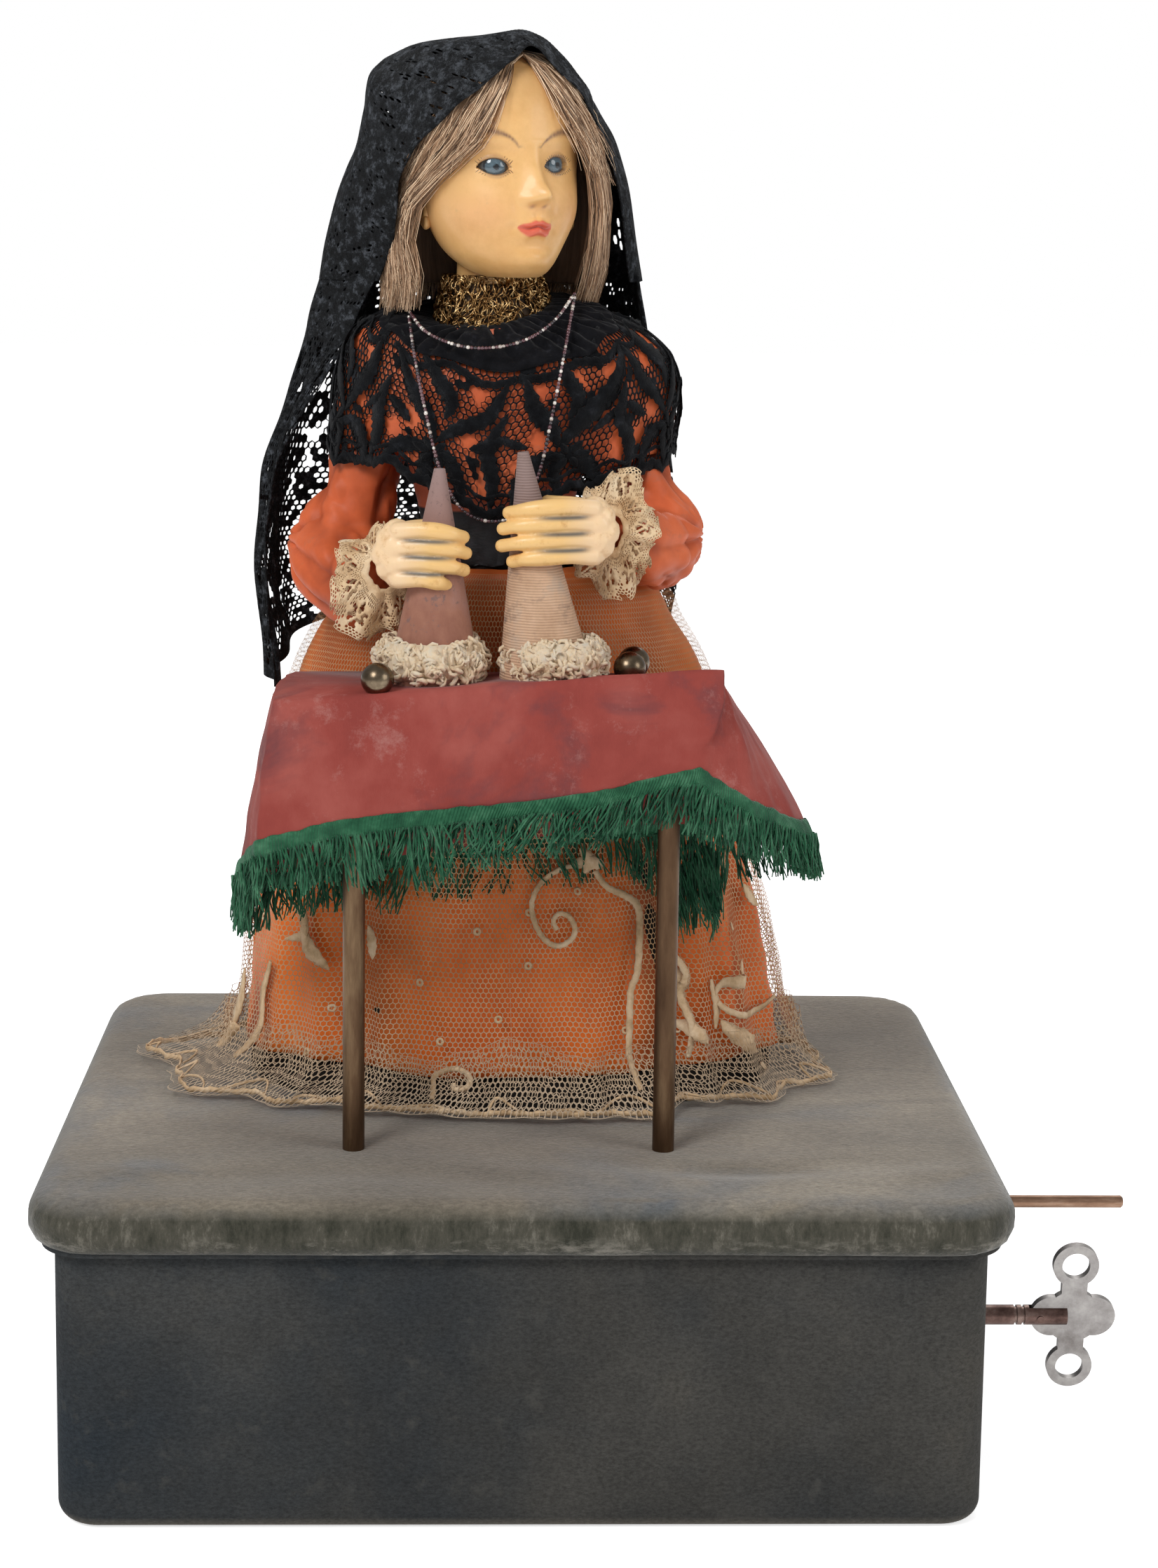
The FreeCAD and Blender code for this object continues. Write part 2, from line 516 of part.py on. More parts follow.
def make_torso():
    """Carton torso, its satin bodice, the ruche and the gold collar round the neck."""
    form = oval_loft(BODICE, grow=-SATIN)
    bodice = oval_loft(BODICE).cut(form)
    throat = rod(V(HEAD_X, 0, 349), V(HEAD_X, 0, 375), NECK_RADIUS + 0.8)
    write("torso_form", form.cut(throat).cut(spindle_bore(270, 375)))
    write("bodice", bodice)
    collar = rod(V(HEAD_X - 1, 0, 356), V(HEAD_X - 1, 0, 369), 18.5)
    collar = collar.makeFillet(3.0, edges_at(collar, 369)).cut(throat)
    ruche = oval_loft(((356, -34, 12, -21, 17), (359, -35, 13, -22, 18), (362.5, -32, 10, -20, 17)))
    ruche = ruche.cut(rod(V(HEAD_X - 1, 0, 350), V(HEAD_X - 1, 0, 365), 18.5))
    write("gold_collar", collar)
    write("neck_ruche", ruche)
    return bodice.fuse(form), ruche


def forearm_taper(side, grow):
    """The lower sleeve from the elbow to the wrist."""
    reach = WRIST[side] - ELBOW[side]
    stations = ((0.12, 13.0), (0.55, 12.0), (0.80, 8.0))
    return limb_loft([(ELBOW[side] + reach * share, radius + grow) for share, radius in stations])


def elbow_link(side):
    """Wooden upper arm inside the sleeve: a tongue with a round end and the elbow's hinge pin."""
    elbow = ELBOW[side]
    half = LINK_WIDTH / 2
    eye = rod(elbow - V(half, 0, 0), elbow + V(half, 0, 0), LINK_EYE)
    strip = Part.makeBox(LINK_WIDTH, LINK_DEPTH, LINK_LENGTH, elbow + V(-half, -LINK_DEPTH / 2, 0))
    pin = rod(elbow - V(PIN_HALF, 0, 0), elbow + V(PIN_HALF, 0, 0), PIN_RADIUS)
    return eye.fuse([strip, pin])


def elbow_slot(side):
    """Room in the forearm for the tongue through the whole lift, with the pin's bore."""
    elbow = ELBOW[side]
    half = LINK_WIDTH / 2 + 0.3
    slot = Part.makeBox(2 * half, 19.5, LINK_LENGTH, elbow + V(-half, -14.0, -LINK_EYE - 1))
    bore = rod(elbow - V(PIN_HALF + 0.1, 0, 0), elbow + V(PIN_HALF + 0.1, 0, 0), PIN_RADIUS + RUNNING)
    return slot.fuse(bore)


def make_sleeves_and_cape(trunk, ruche):
    """Upper sleeves with a hollow for each elbow, under a lace cape."""
    sleeves = []
    for side, elbow in enumerate(ELBOW):
        shoulder = V((-31, 9)[side], -4, 344)
        outer = V((-52, 33)[side], -7, 308)
        sleeve = limb_loft([(shoulder, 9.0), (V((-42, 21)[side], -5, 328), 12.0), (outer, 12.5),
                            (elbow + V(0, 0, 6), 13.5)])
        sleeve = sleeve.cut(ball_on_hinge(elbow, ELBOW_RADIUS + SOFT_GAP)).cut(trunk)
        sleeve = sleeve.cut(Part.makeBox(60, 60, 60, V(elbow.x - 30, -38, elbow.z - 54)))
        for lift in (0.0, ARM_LIFT / 2, ARM_LIFT):
            sleeve = sleeve.cut(forearm_taper(side, SOFT_GAP).rotated(elbow, X_AXIS, -lift))
        link = elbow_link(side)
        sleeve = max(sleeve.cut(link).Solids, key=lambda s: s.Volume)
        sleeves.append(sleeve)
        write("elbow_link_" + ("left", "right")[side], link)
        write("upper_sleeve_" + ("left", "right")[side], sleeve)
    cape = oval_loft(CAPE).cut(oval_loft(CAPE, grow=-CAPE_LACE))
    top_fill = oval_loft(CAPE[-2:]).cut(trunk).cut(ruche)
    cape = cape.fuse(top_fill).cut(trunk).cut(ruche)
    cape = cape.cut(rod(V(HEAD_X - 1, 0, 350), V(HEAD_X - 1, 0, 375), 18.5))
    for sleeve in sleeves:
        cape = cape.cut(sleeve)
    for side, elbow in enumerate(ELBOW):
        cape = cape.cut(ball_on_hinge(elbow, ELBOW_RADIUS + SOFT_GAP))
        for step in range(5):
            lifted = forearm_taper(side, 2 * SOFT_GAP).rotated(elbow, X_AXIS, -ARM_LIFT * step / 4)
            cape = cape.cut(lifted)
    cape = max(cape.Solids, key=lambda s: s.Volume)
    write("lace_cape", cape)
    return cape, sleeves


BEAD_RADIUS = 0.8
STRANDS = (((-35, 358.5), (-29, 353.5), (-16, 350.5), (-2, 353.5), (10, 360)),
           ((-36, 357.5), (-32, 340), (-28, 322), (-22, 305), (-12, 297.5), (-2, 305), (5, 325), (9, 345), (11, 359)))


def make_beads(cape, bodice, ruche):
    """Two bead strands lying on the front of the cape."""
    pieces = []
    for strand in STRANDS:
        places = []
        for x, z in strand:
            source = CAPE if z >= CAPE[0][0] else BODICE
            places.append(V(x, front_of(source, x, min(z, 360)) - BEAD_RADIUS * 0.9, z))
        pieces += [rod(a, b, BEAD_RADIUS) for a, b in zip(places, places[1:])]
    beads = pieces[0].fuse(pieces[1:]).cut(cape).cut(bodice).cut(ruche)
    write("bead_strands", beads)


# ---- the head -----------------------------------------------------------------------------------
NECK_RADIUS = 12.5
NECK_FOOT = 359.0
SKULL = ((371.5, -19, -3, -24, -8), (376, -26, 4, -27, 8), (384, -32, 10, -30, 16), (396, -35.5, 13.5, -31.5, 22),
         (408, -37, 15, -31, 25), (422, -36.5, 14.5, -30, 25), (433, -31, 9, -25, 20), (440, -22, 0, -15, 11))
HAIR = ((364, -38, 16, -10, 22), (374, -40, 18, -20, 26), (396, -41.5, 19.5, -30, 29), (422, -40, 18, -33, 29),
        (436, -33, 11, -27, 22), (442.5, -22, 0, -15, 11))
HOOD = ((377, -64, 28, -6, 40), (393, -58, 27, -10, 38), (412, -53, 26, -12, 37), (434, -48, 15, -18, 32),
        (446.6, -26, 3, -8, 18))
FALL = ((246, -84, -60, 12, 40), (270, -84, -20, 12, 44), (306, -81, 46, 8, 46), (346, -70, 38, 4, 42),
        (371, -65, 31, 0, 40))


def make_head():
    """Carton head on a round neck, its hair, eyes and the veil's hood."""
    neck = rod(V(HEAD_X, 0, NECK_FOOT), V(HEAD_X, 0, 380), NECK_RADIUS)
    nose = Part.makeLoft([ring_wire(V(HEAD_X, -29, z), X_AXIS, Y_AXIS, w, d, 8)
                          for z, w, d in ((392, 3.6, 6.6), (396, 3.8, 8.2), (410, 1.6, 3.2))], True, True)
    eyes = [Part.makeCylinder(4.2, 7.0, V(HEAD_X + s * 10.2, -22, 405), V(s * 0.28, -1, 0)) for s in (-1, 1)]
    skull = oval_loft(SKULL)
    head = skull.fuse([neck, nose])
    sockets = eyes[0].fuse(eyes[1])
    throat = Part.makeBox(4.0, 14, 20, V(HEAD_X - 2.0, -7, 350))
    throat = throat.fuse(rod(V(HEAD_X, 0, 350), V(HEAD_X, 0, NOD_Z - 2.5), SPINDLE_RADIUS + 1.2))
    pin_hole = rod(V(HEAD_X - SPINDLE_RADIUS - 2.2, 0, NOD_Z), V(HEAD_X + SPINDLE_RADIUS + 2.2, 0, NOD_Z),
                   NOD_PIN + RUNNING)
    head = head.cut(sockets).cut(throat).cut(pin_hole)
    hair = oval_loft(HAIR, points=20)
    face = Part.makeBox(40, 30, 62, V(HEAD_X - 20, -40, 366))
    brow = rod(V(HEAD_X, -40, 428), V(HEAD_X, -12, 428), 13)
    wig = hair.cut(skull).cut(face).cut(brow).cut(rod(V(HEAD_X, 0, 350), V(HEAD_X, 0, 385), 20.5))
    wig = max(wig.Solids, key=lambda s: s.Volume)
    write("head", turned(head))
    write("eyes", turned(sockets))
    write("wig", turned(wig))
    hood = oval_loft(HOOD, points=20).cut(turned(hair)).cut(turned(skull)).cut(turned(neck))
    window = turned(Part.makeBox(46, 40, 90, V(HEAD_X - 23, -52, 350)))
    hood = hood.cut(window).cut(Part.makeBox(60, 46, 40, V(-41, -30, 350)))
    hood = max(hood.Solids, key=lambda s: s.Volume)
    write("veil_hood", hood)


WIG_SWEEP = 36.0           # the wig's lower edge turns inside this radius


def make_fall(trunk, cape, sleeves):
    """The veil's fall behind the shoulders, its longer end at the left."""
    fall = oval_loft(FALL, points=16)
    inner = oval_loft(FALL, points=16, grow=-2.0).cut(Part.makeBox(300, 60, 300, V(-150, 20, 200)))
    fall = fall.cut(Part.makeBox(90, 60, 130, V(-62, -40, 242))).cut(trunk).cut(oval_loft(CAPE))
    for piece in [inner, cape] + sleeves:
        fall = fall.cut(piece)
    fall = fall.cut(oval_loft(SKIRT, grow=NET))
    fall = fall.cut(rod(V(HEAD_X, 0, 356), V(HEAD_X, 0, 375), WIG_SWEEP))
    for elbow in ELBOW:
        fall = fall.cut(ball_on_hinge(elbow, ELBOW_RADIUS + 2 * SOFT_GAP))
    fall = max(fall.Solids, key=lambda s: s.Volume)
    write("veil_fall", fall)


# ---- the arms -----------------------------------------------------------------------------------
CUFF_RADIUS = (13.5, 14.5)
FINGER_RADIUS = 2.5


def make_cone(side):
    """A hollow paper cone with a curly wool ruff round its foot."""
    base = V(CONE_X[side], CONE_Y, CONE_BASE_Z[side])
    tip = V(CONE_TIP_X[side], CONE_Y - 1.0, CONE_TIP_Z[side])
    run = tip - base
    spread = (CONE_BASE_RADIUS[side] - CONE_TIP_RADIUS) / run.Length
    below = base - V(run).normalize() * CONE_SKIRT
    length = run.Length + CONE_SKIRT
    foot_radius = CONE_BASE_RADIUS[side] + spread * CONE_SKIRT
    outer = Part.makeCone(foot_radius, CONE_TIP_RADIUS, length, below, run)
    hollow = Part.makeCone(foot_radius - CONE_WALL, 0.4, length - 8, below, run)
    middle = V(RUFF_X[side], CONE_Y, 0)
    wires = []
    for rise, share in ((0.0, 0.9), (4.0, 1.0), (11.0, 0.97), (RUFF_HEIGHT, 0.74)):
        radius = RUFF_RADIUS[side] * share
        wires.append(ring_wire(middle + V(0, 0, base.z + rise), X_AXIS, Y_AXIS, radius, radius, 20))
    ruff = Part.makeLoft(wires, True, True)
    foot = Part.makeBox(60, 60, 12, V(base.x - 30, base.y - 30, base.z - 12))
    return outer, outer.cut(hollow).cut(foot), ruff.cut(outer)


def make_hand(side, cone):
    """A cast hand: palm, four fingers across the front of the cone and a thumb behind it."""
    inward = (1, -1)[side]
    wrist = WRIST[side]
    knuckle = wrist + V(inward * 9.0, -12.5, 1.0)
    palm = Part.makeLoft([ring_wire(wrist + V(inward * -1, 6, 0), X_AXIS, Z_AXIS, 5.0, 6.0, 12),
                          ring_wire(wrist + V(inward * 1, -4, 0.4), X_AXIS, Z_AXIS, 6.5, 8.5, 12),
                          ring_wire(knuckle, X_AXIS, Z_AXIS, 5.5, 10.0, 12)], True, True)
    fingers = []
    for k in range(4):
        z = knuckle.z + 7.4 - 4.95 * k
        reach = (15.5, 17.5, 17.0, 14.0)[k]
        root = V(knuckle.x - inward * 1.0, knuckle.y, z)
        bend = root + V(inward * 6.5, -1.6, 0)
        end = bend + V(inward * reach * 0.72, 2.6, -0.8)
        fingers.append(rod(root, bend, FINGER_RADIUS).fuse([Part.makeSphere(FINGER_RADIUS, bend),
                                                            rod(bend, end, FINGER_RADIUS)]))
    thumb_root = wrist + V(inward * 2, 2.0, 5.0)
    thumb_end = thumb_root + V(inward * 19, 1.5, 3.0)
    fingers.append(rod(thumb_root, thumb_end, 2.6))
    hand = palm
    for finger in fingers:
        hand = hand.fuse(finger)
    return max(hand.cut(cone).Solids, key=lambda s: s.Volume)


def make_arm(side):
    """Forearm sleeve turning in the upper sleeve, lace cuff, hand, cone and ruff."""
    name = ("left", "right")[side]
    elbow = ELBOW[side]
    wrist = WRIST[side]
    reach = wrist - elbow
    sleeve = forearm_taper(side, 0.0).fuse(ball_on_hinge(elbow, ELBOW_RADIUS)).cut(elbow_slot(side))
    cone, shell, ruff = make_cone(side)
    hand = make_hand(side, cone)
    cuff = limb_loft([(elbow + reach * 0.74, 9.0), (elbow + reach * 0.84, CUFF_RADIUS[side]),
                      (elbow + reach * 1.02, CUFF_RADIUS[side] * 0.86)])
    cuff = cuff.cut(sleeve).cut(hand).cut(cone)
    hand = hand.cut(sleeve)
    write("forearm_sleeve_" + name, sleeve)
    write("lace_cuff_" + name, max(cuff.Solids, key=lambda s: s.Volume))
    write("hand_" + name, hand)
    write("cone_" + name, shell)
    write("cone_ruff_" + name, ruff)


if __name__ == "__main__":
    os.makedirs("parts", exist_ok=True)
    make_box()
    make_lid()
    make_key()
    make_start_rod()
    make_motor()
    make_bearing()
    make_spindle()
    make_tricks()
    make_table()
    make_legs()
    make_balls()
    make_skirts()
    trunk_shape, ruche_shape = make_torso()
    cape_shape, sleeve_shapes = make_sleeves_and_cape(trunk_shape, ruche_shape)
    make_beads(cape_shape, trunk_shape, ruche_shape)
    make_head()
    make_fall(trunk_shape, cape_shape, sleeve_shapes)
    for arm_side in (0, 1):
        make_arm(arm_side)
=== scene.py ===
"""Clockwork conjurer figure: a dressed doll behind a cloth-covered table, on a velvet-covered box."""
import math
import random

import bmesh
import bpy
from mathutils import Matrix, Vector, noise


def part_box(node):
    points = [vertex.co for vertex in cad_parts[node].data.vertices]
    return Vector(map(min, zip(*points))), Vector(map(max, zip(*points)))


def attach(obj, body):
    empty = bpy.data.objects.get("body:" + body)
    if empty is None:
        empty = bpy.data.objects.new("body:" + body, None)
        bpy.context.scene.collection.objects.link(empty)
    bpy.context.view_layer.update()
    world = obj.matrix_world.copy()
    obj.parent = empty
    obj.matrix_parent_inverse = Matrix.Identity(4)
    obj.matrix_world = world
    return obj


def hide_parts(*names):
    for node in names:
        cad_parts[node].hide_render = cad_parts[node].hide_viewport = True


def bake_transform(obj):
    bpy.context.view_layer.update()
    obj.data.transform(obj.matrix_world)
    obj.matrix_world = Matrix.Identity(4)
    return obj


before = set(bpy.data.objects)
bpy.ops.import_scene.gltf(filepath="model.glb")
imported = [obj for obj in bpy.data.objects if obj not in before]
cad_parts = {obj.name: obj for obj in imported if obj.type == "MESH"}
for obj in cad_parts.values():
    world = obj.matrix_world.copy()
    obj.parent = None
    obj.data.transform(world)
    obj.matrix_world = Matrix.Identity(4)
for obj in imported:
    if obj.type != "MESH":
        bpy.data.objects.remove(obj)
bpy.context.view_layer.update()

# ---- Studio: a white sweep, a large soft lamp from the left and front, a weaker one from the right ----
# The floor lets its own colour through to the camera and to glossy surfaces, and keeps the object's shadow.


def placed(name, data):
    """A new object in the scene for a mesh, a curve, a lamp or a camera."""
    thing = bpy.data.objects.new(name, data)
    bpy.context.scene.collection.objects.link(thing)
    return thing


def mesh_placed(name, bm):
    """A new object in the scene from a finished bmesh."""
    data = bpy.data.meshes.new(name)
    bm.to_mesh(data)
    bm.free()
    return placed(name, data)


def grid(columns, rows, half=0.5):
    """A flat sheet of so many cells about the middle, to be bent to shape."""
    bm = bmesh.new()
    bmesh.ops.create_grid(bm, x_segments=columns, y_segments=rows, size=half)
    return bm


def preset(made, **values):
    """Set a shader node's inputs by their names."""
    for name, value in values.items():
        made.inputs[name.replace("_", " ")].default_value = value
    return made


def node(tree, kind, **values):
    """A new shader node of a kind, with some of its inputs set."""
    return preset(tree.nodes.new("ShaderNode" + kind), **values)


def link(tree, *joins):
    """Join output sockets to input sockets, given in pairs."""
    for source, target in zip(joins[::2], joins[1::2]):
        tree.links.new(source, target)


floor = mesh_placed("floor", grid(1, 1, 6.0))
paper = bpy.data.materials.new("studio_paper")
paper.use_nodes = True
tree = paper.node_tree
tree.nodes.clear()
out = node(tree, "OutputMaterial")
lit = node(tree, "BsdfDiffuse", Color=(0.93, 0.93, 0.93, 1))
bright = node(tree, "Emission", Strength=0.64)
ray = node(tree, "LightPath")
seen = node(tree, "Math")
seen.operation = "MAXIMUM"
both = node(tree, "AddShader")
switch = node(tree, "MixShader")
link(tree, ray.outputs["Is Camera Ray"], seen.inputs[0], ray.outputs["Is Glossy Ray"], seen.inputs[1],
     lit.outputs[0], both.inputs[0], bright.outputs[0], both.inputs[1], seen.outputs[0], switch.inputs[0],
     lit.outputs[0], switch.inputs[1], both.outputs[0], switch.inputs[2], switch.outputs[0],
     out.inputs["Surface"])
floor.data.materials.append(paper)

world = bpy.data.worlds.new("studio")
bpy.context.scene.world = world
world.use_nodes = True
tree = world.node_tree
white = (1, 1, 1, 1)
back = preset(tree.nodes["Background"], Color=white, Strength=0.40)
clear = node(tree, "Background", Color=white)
ray = node(tree, "LightPath")
switch = node(tree, "MixShader")
link(tree, ray.outputs["Is Camera Ray"], switch.inputs[0], back.outputs[0], switch.inputs[1],
     clear.outputs[0], switch.inputs[2], switch.outputs[0], tree.nodes["World Output"].inputs["Surface"])

lamps_look_at = Vector((0, 0, 0.22))
for name, place, size, power in (("key_lamp", (-0.9, -1.3, 1.5), 0.8, 20.0),
                                 ("fill_lamp", (1.5, -0.9, 0.9), 0.9, 7.0),
                                 ("rim_lamp", (0.4, 1.3, 1.3), 0.8, 6.0)):
    lamp = bpy.data.lights.new(name, "AREA")
    lamp.shape = "DISK"
    lamp.size = size
    lamp.energy = power
    holder = placed(name, lamp)
    holder.location = place
    holder.rotation_euler = (lamps_look_at - Vector(place)).to_track_quat("-Z", "Y").to_euler()

pitch, yaw, roll = (math.radians(a) for a in (9.0, 1.97, 0.80))
level = Vector((math.sin(yaw), math.cos(yaw), 0))
right = Vector((math.cos(yaw), -math.sin(yaw), 0))
ahead = level * math.cos(pitch) - Vector((0, 0, math.sin(pitch)))
up = level * math.sin(pitch) + Vector((0, 0, math.cos(pitch)))
across = right * math.cos(roll) + up * math.sin(roll)
upward = -right * math.sin(roll) + up * math.cos(roll)
camera_place = Matrix.Translation((-0.015, -0.942, 0.402))
lens = bpy.data.cameras.new("camera")
lens.lens = 67.6
lens.sensor_fit = "AUTO"
lens.sensor_width = 36.0
lens.shift_y = -0.0894
camera = placed("camera", lens)
camera.matrix_world = camera_place @ Matrix((across, upward, -ahead)).transposed().to_4x4()
bpy.context.scene.camera = camera
bpy.context.scene.view_settings.view_transform = "Standard"

# ---- Velvet case: thin wood covered in cotton velvet, worn brown on its edges, with dusty specks ----
# The pile is rubbed in cloudy patches; the lower edge and the corners have lost most of it.


def finish(name, rough=0.8, metal=0.0, sheen=0.0, coat=0.0, **others):
    """An empty finish to build on: its material, its node tree and its main shader."""
    mat = bpy.data.materials.new(name)
    mat.use_nodes = True
    shader = preset(mat.node_tree.nodes["Principled BSDF"], Roughness=rough, Metallic=metal,
                    Sheen_Weight=sheen,
                    Sheen_Roughness=0.4, Coat_Weight=coat, **others)
    if rough > 0.84:
        preset(shader, Specular_IOR_Level=0.12)
    return mat, mat.node_tree, shader


def speckle(tree, scale, detail, rough, stretch=(1, 1, 1), distort=0.0):
    """Cloudy noise over the piece, stretched along its axes; gives the noise factor."""
    where = node(tree, "TexCoord")
    squeeze = node(tree, "Mapping", Scale=stretch)
    cloud = node(tree, "TexNoise", Scale=scale, Detail=detail, Roughness=rough, Distortion=distort)
    link(tree, where.outputs["Object"], squeeze.inputs["Vector"], squeeze.outputs["Vector"],
         cloud.inputs["Vector"])
    return cloud.outputs["Fac"]


def graded(tree, factor, *stops):
    """A colour ramp from (place, colour) stops."""
    ramp = node(tree, "ValToRGB")
    while len(ramp.color_ramp.elements) < len(stops):
        ramp.color_ramp.elements.new(0.5)
    for element, (place, colour) in zip(ramp.color_ramp.elements, stops):
        element.position = place
        element.color = (*colour, 1)
    link(tree, factor, ramp.inputs["Fac"])
    return ramp.outputs["Color"]


def mottled(tree, cloud, *stops):
    """Cloudy colours: the noise's settings, then the ramp's stops."""
    return graded(tree, speckle(tree, *cloud), *stops)


def patches(tree, cloud, low, high, strength=1.0):
    """A mask of cloudy patches: nothing up to a low place of the noise, its full strength from a high one."""
    return mottled(tree, cloud, (low, (0, 0, 0)), (high, (strength, strength, strength)))


def band(tree, low, high):
    """A mask by height in metres: 0 at one height and 1 at the other."""
    where = node(tree, "TexCoord")
    parts = node(tree, "SeparateXYZ")
    ramp = node(tree, "MapRange", From_Min=low, From_Max=high)
    link(tree, where.outputs["Object"], parts.inputs[0], parts.outputs["Z"], ramp.inputs["Value"])
    return ramp.outputs[0]


def blended(tree, factor, first, second, mode="MIX"):
    """Two colours mixed by a factor; each may be a socket or plain values."""
    mix = node(tree, "Mix")
    mix.data_type = "RGBA"
    mix.blend_type = mode
    for socket, value in ((mix.inputs[0], factor), (mix.inputs[6], first), (mix.inputs[7], second)):
        if isinstance(value, bpy.types.NodeSocket):
            link(tree, value, socket)
        elif isinstance(value, tuple):
            socket.default_value = (*value, 1)
        else:
            socket.default_value = value
    return mix.outputs[2]


def nap(tree, shader, height, strength, distance):
    """Raise a surface by a height factor."""
    bump = node(tree, "Bump", Strength=strength, Distance=distance)
    link(tree, height, bump.inputs["Height"], bump.outputs["Normal"], shader.inputs["Normal"])


def covered(tree, shader, tone, relief=()):
    """Lay a tone on a surface and raise it: how strongly, how deep in metres, and the noise's settings."""
    link(tree, tone, shader.inputs["Base Color"])
    if relief:
        strength, depth, *weave = relief
        nap(tree, shader, speckle(tree, *weave), strength, depth)


def clouded(name, rough, cloud, stops, over=(), relief=(), **surface):
    """A whole finish: cloudy tones, other colours over them through masks, and a raised surface."""
    mat, tree, shader = finish(name, rough, **surface)
    tone = mottled(tree, cloud, *stops)
    for colour, mask, *settings in over:
        tone = blended(tree, mask(tree, *settings), tone, colour)
    covered(tree, shader, tone, relief)
    return mat


def repaint(mat, *names):
    """Give carried-over solids their finish."""
    for name in names:
        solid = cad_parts[name]
        solid.data.materials.clear()
        solid.data.materials.append(mat)


case_velvet, tree, shader = finish("case_velvet", 0.95, sheen=0.05)
clouds = mottled(tree, (9, 6, 0.62), (0.30, (0.026, 0.031, 0.036)), (0.5, (0.048, 0.056, 0.062)),
                 (0.62, (0.082, 0.088, 0.090)), (0.75, (0.13, 0.125, 0.11)))
brown = mottled(tree, (5, 5, 0.6), (0.38, (0.030, 0.042, 0.056)), (0.62, (0.088, 0.074, 0.056)))
tone = blended(tree, 0.45, clouds, brown)
foot_wear = band(tree, 0.0045, 0.0005)
tone = blended(tree, foot_wear, tone, (0.20, 0.18, 0.15))
pile = mottled(tree, (620, 5, 0.85, (1, 1, 1.8)), (0.36, (0.42, 0.42, 0.42)), (0.64, (1, 1, 1)))
tone = blended(tree, 0.85, tone, pile, "MULTIPLY")
dust = patches(tree, (110, 5, 0.7), 0.56, 0.72, 0.5)
tone = blended(tree, dust, tone, (0.085, 0.082, 0.074))
covered(tree, shader, tone, (0.5, 0.0006, 900, 3, 0.7))
# The lid's wooden board is given the dark velvet too: painted shade for the thin line under the padded lid's
# overhang.
repaint(case_velvet, "box_front", "box_back", "box_left", "box_right", "lid_board")

board_wood = clouded("board_wood", 0.7, (40, 4, 0.6, (1, 12, 12)),
                     ((0.3, (0.30, 0.19, 0.10)), (0.7, (0.42, 0.29, 0.17))),
                     relief=(0.3, 0.0004, 90, 3, 0.6, (1, 14, 14)))
repaint(board_wood, "base_board", "table_tray", "cams")

# ---- Padded lid: velvet over wadding on a board, its overhanging edge soft and its pile brushed grey ----
# The top is creased in shallow waves where the figure and table pull it; the edges are rubbed pale.
low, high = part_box("lid_cover")
lid_corner = 0.020
lid_rim = 0.0072
bm = bmesh.new()
block = Matrix.Translation((low + high) / 2) @ Matrix.Diagonal((*(high - low), 1))
bmesh.ops.create_cube(bm, size=1.0, matrix=block)
upright = [e for e in bm.edges if abs(e.verts[0].co.z - e.verts[1].co.z) > 0.01]
bmesh.ops.bevel(bm, geom=upright, offset=lid_corner, segments=8, profile=0.5, affect="EDGES", material=-1)
rims = [e for e in bm.edges if abs(e.verts[0].co.z - e.verts[1].co.z) < 1e-6 and len(e.link_faces) == 2
        and abs(e.link_faces[0].normal.z) + abs(e.link_faces[1].normal.z) > 0.5]
bmesh.ops.bevel(bm, geom=rims, offset=lid_rim, segments=6, profile=0.5, affect="EDGES", material=-1)
bmesh.ops.triangulate(bm, faces=[f for f in bm.faces if len(f.verts) > 8])
lid = mesh_placed("lid_cushion", bm)


def solid_of(thing):
    """The mesh that an object's modifiers or its bevel make of it."""
    bpy.context.view_layer.update()
    return bpy.data.meshes.new_from_object(thing.evaluated_get(bpy.context.evaluated_depsgraph_get()))


def evened(made, voxel, easing=0.0, rounds=0):
    """Give a piece one even skin of small cells, eased in so many rounds; gives its new mesh."""
    even = made.modifiers.new("even", "REMESH")
    even.mode = "VOXEL"
    even.voxel_size = voxel
    if rounds:
        ease = made.modifiers.new("easing", "SMOOTH")
        ease.factor = easing
        ease.iterations = rounds
    done = solid_of(made)
    made.modifiers.clear()
    made.data = done
    return done


def rounded(data):
    """Shade a mesh smoothly across its faces."""
    for face in data.polygons:
        face.use_smooth = True


def wobble(x, y, z):
    """Smooth noise at a place, mostly between -0.5 and 0.5."""
    return noise.noise(Vector((x, y, z)))


def clamp(value):
    """Keep a value between 0 and 1."""
    return max(0.0, min(1.0, value))


def bell(away, wide):
    """A smooth bump of height 1: how far from its middle, and its width."""
    return math.exp(-(away / wide) ** 2)


evened(lid, 0.003)
for vert in lid.data.vertices:
    x, y, z = vert.co
    if z > high.z - 0.009:
        edge = clamp(min(high.x - abs(x), high.y - abs(y)) / 0.03)
        wave = math.sin(y * 190 + 2.2 * wobble(x * 9, y * 4, 0) * 3)
        crease = bell(y + 0.088, 0.020) * wave * 0.0007 * (0.4 + 0.6 * wobble(x * 14, y * 30, 3) ** 2 * 4)
        swell = wobble(x * 16, y * 22, 7) * 0.0007
        vert.co.z += (crease + swell) * edge - 0.0006
    else:
        side = wobble(x * 40, y * 40, z * 60) * 0.0005
        vert.co.x += side * math.copysign(1, x)
        vert.co.y += side * math.copysign(1, y)
rounded(lid.data)


def product(tree, first, second):
    """Two masks multiplied."""
    both = node(tree, "Math")
    both.operation = "MULTIPLY"
    link(tree, first, both.inputs[0], second, both.inputs[1])
    return both.outputs[0]


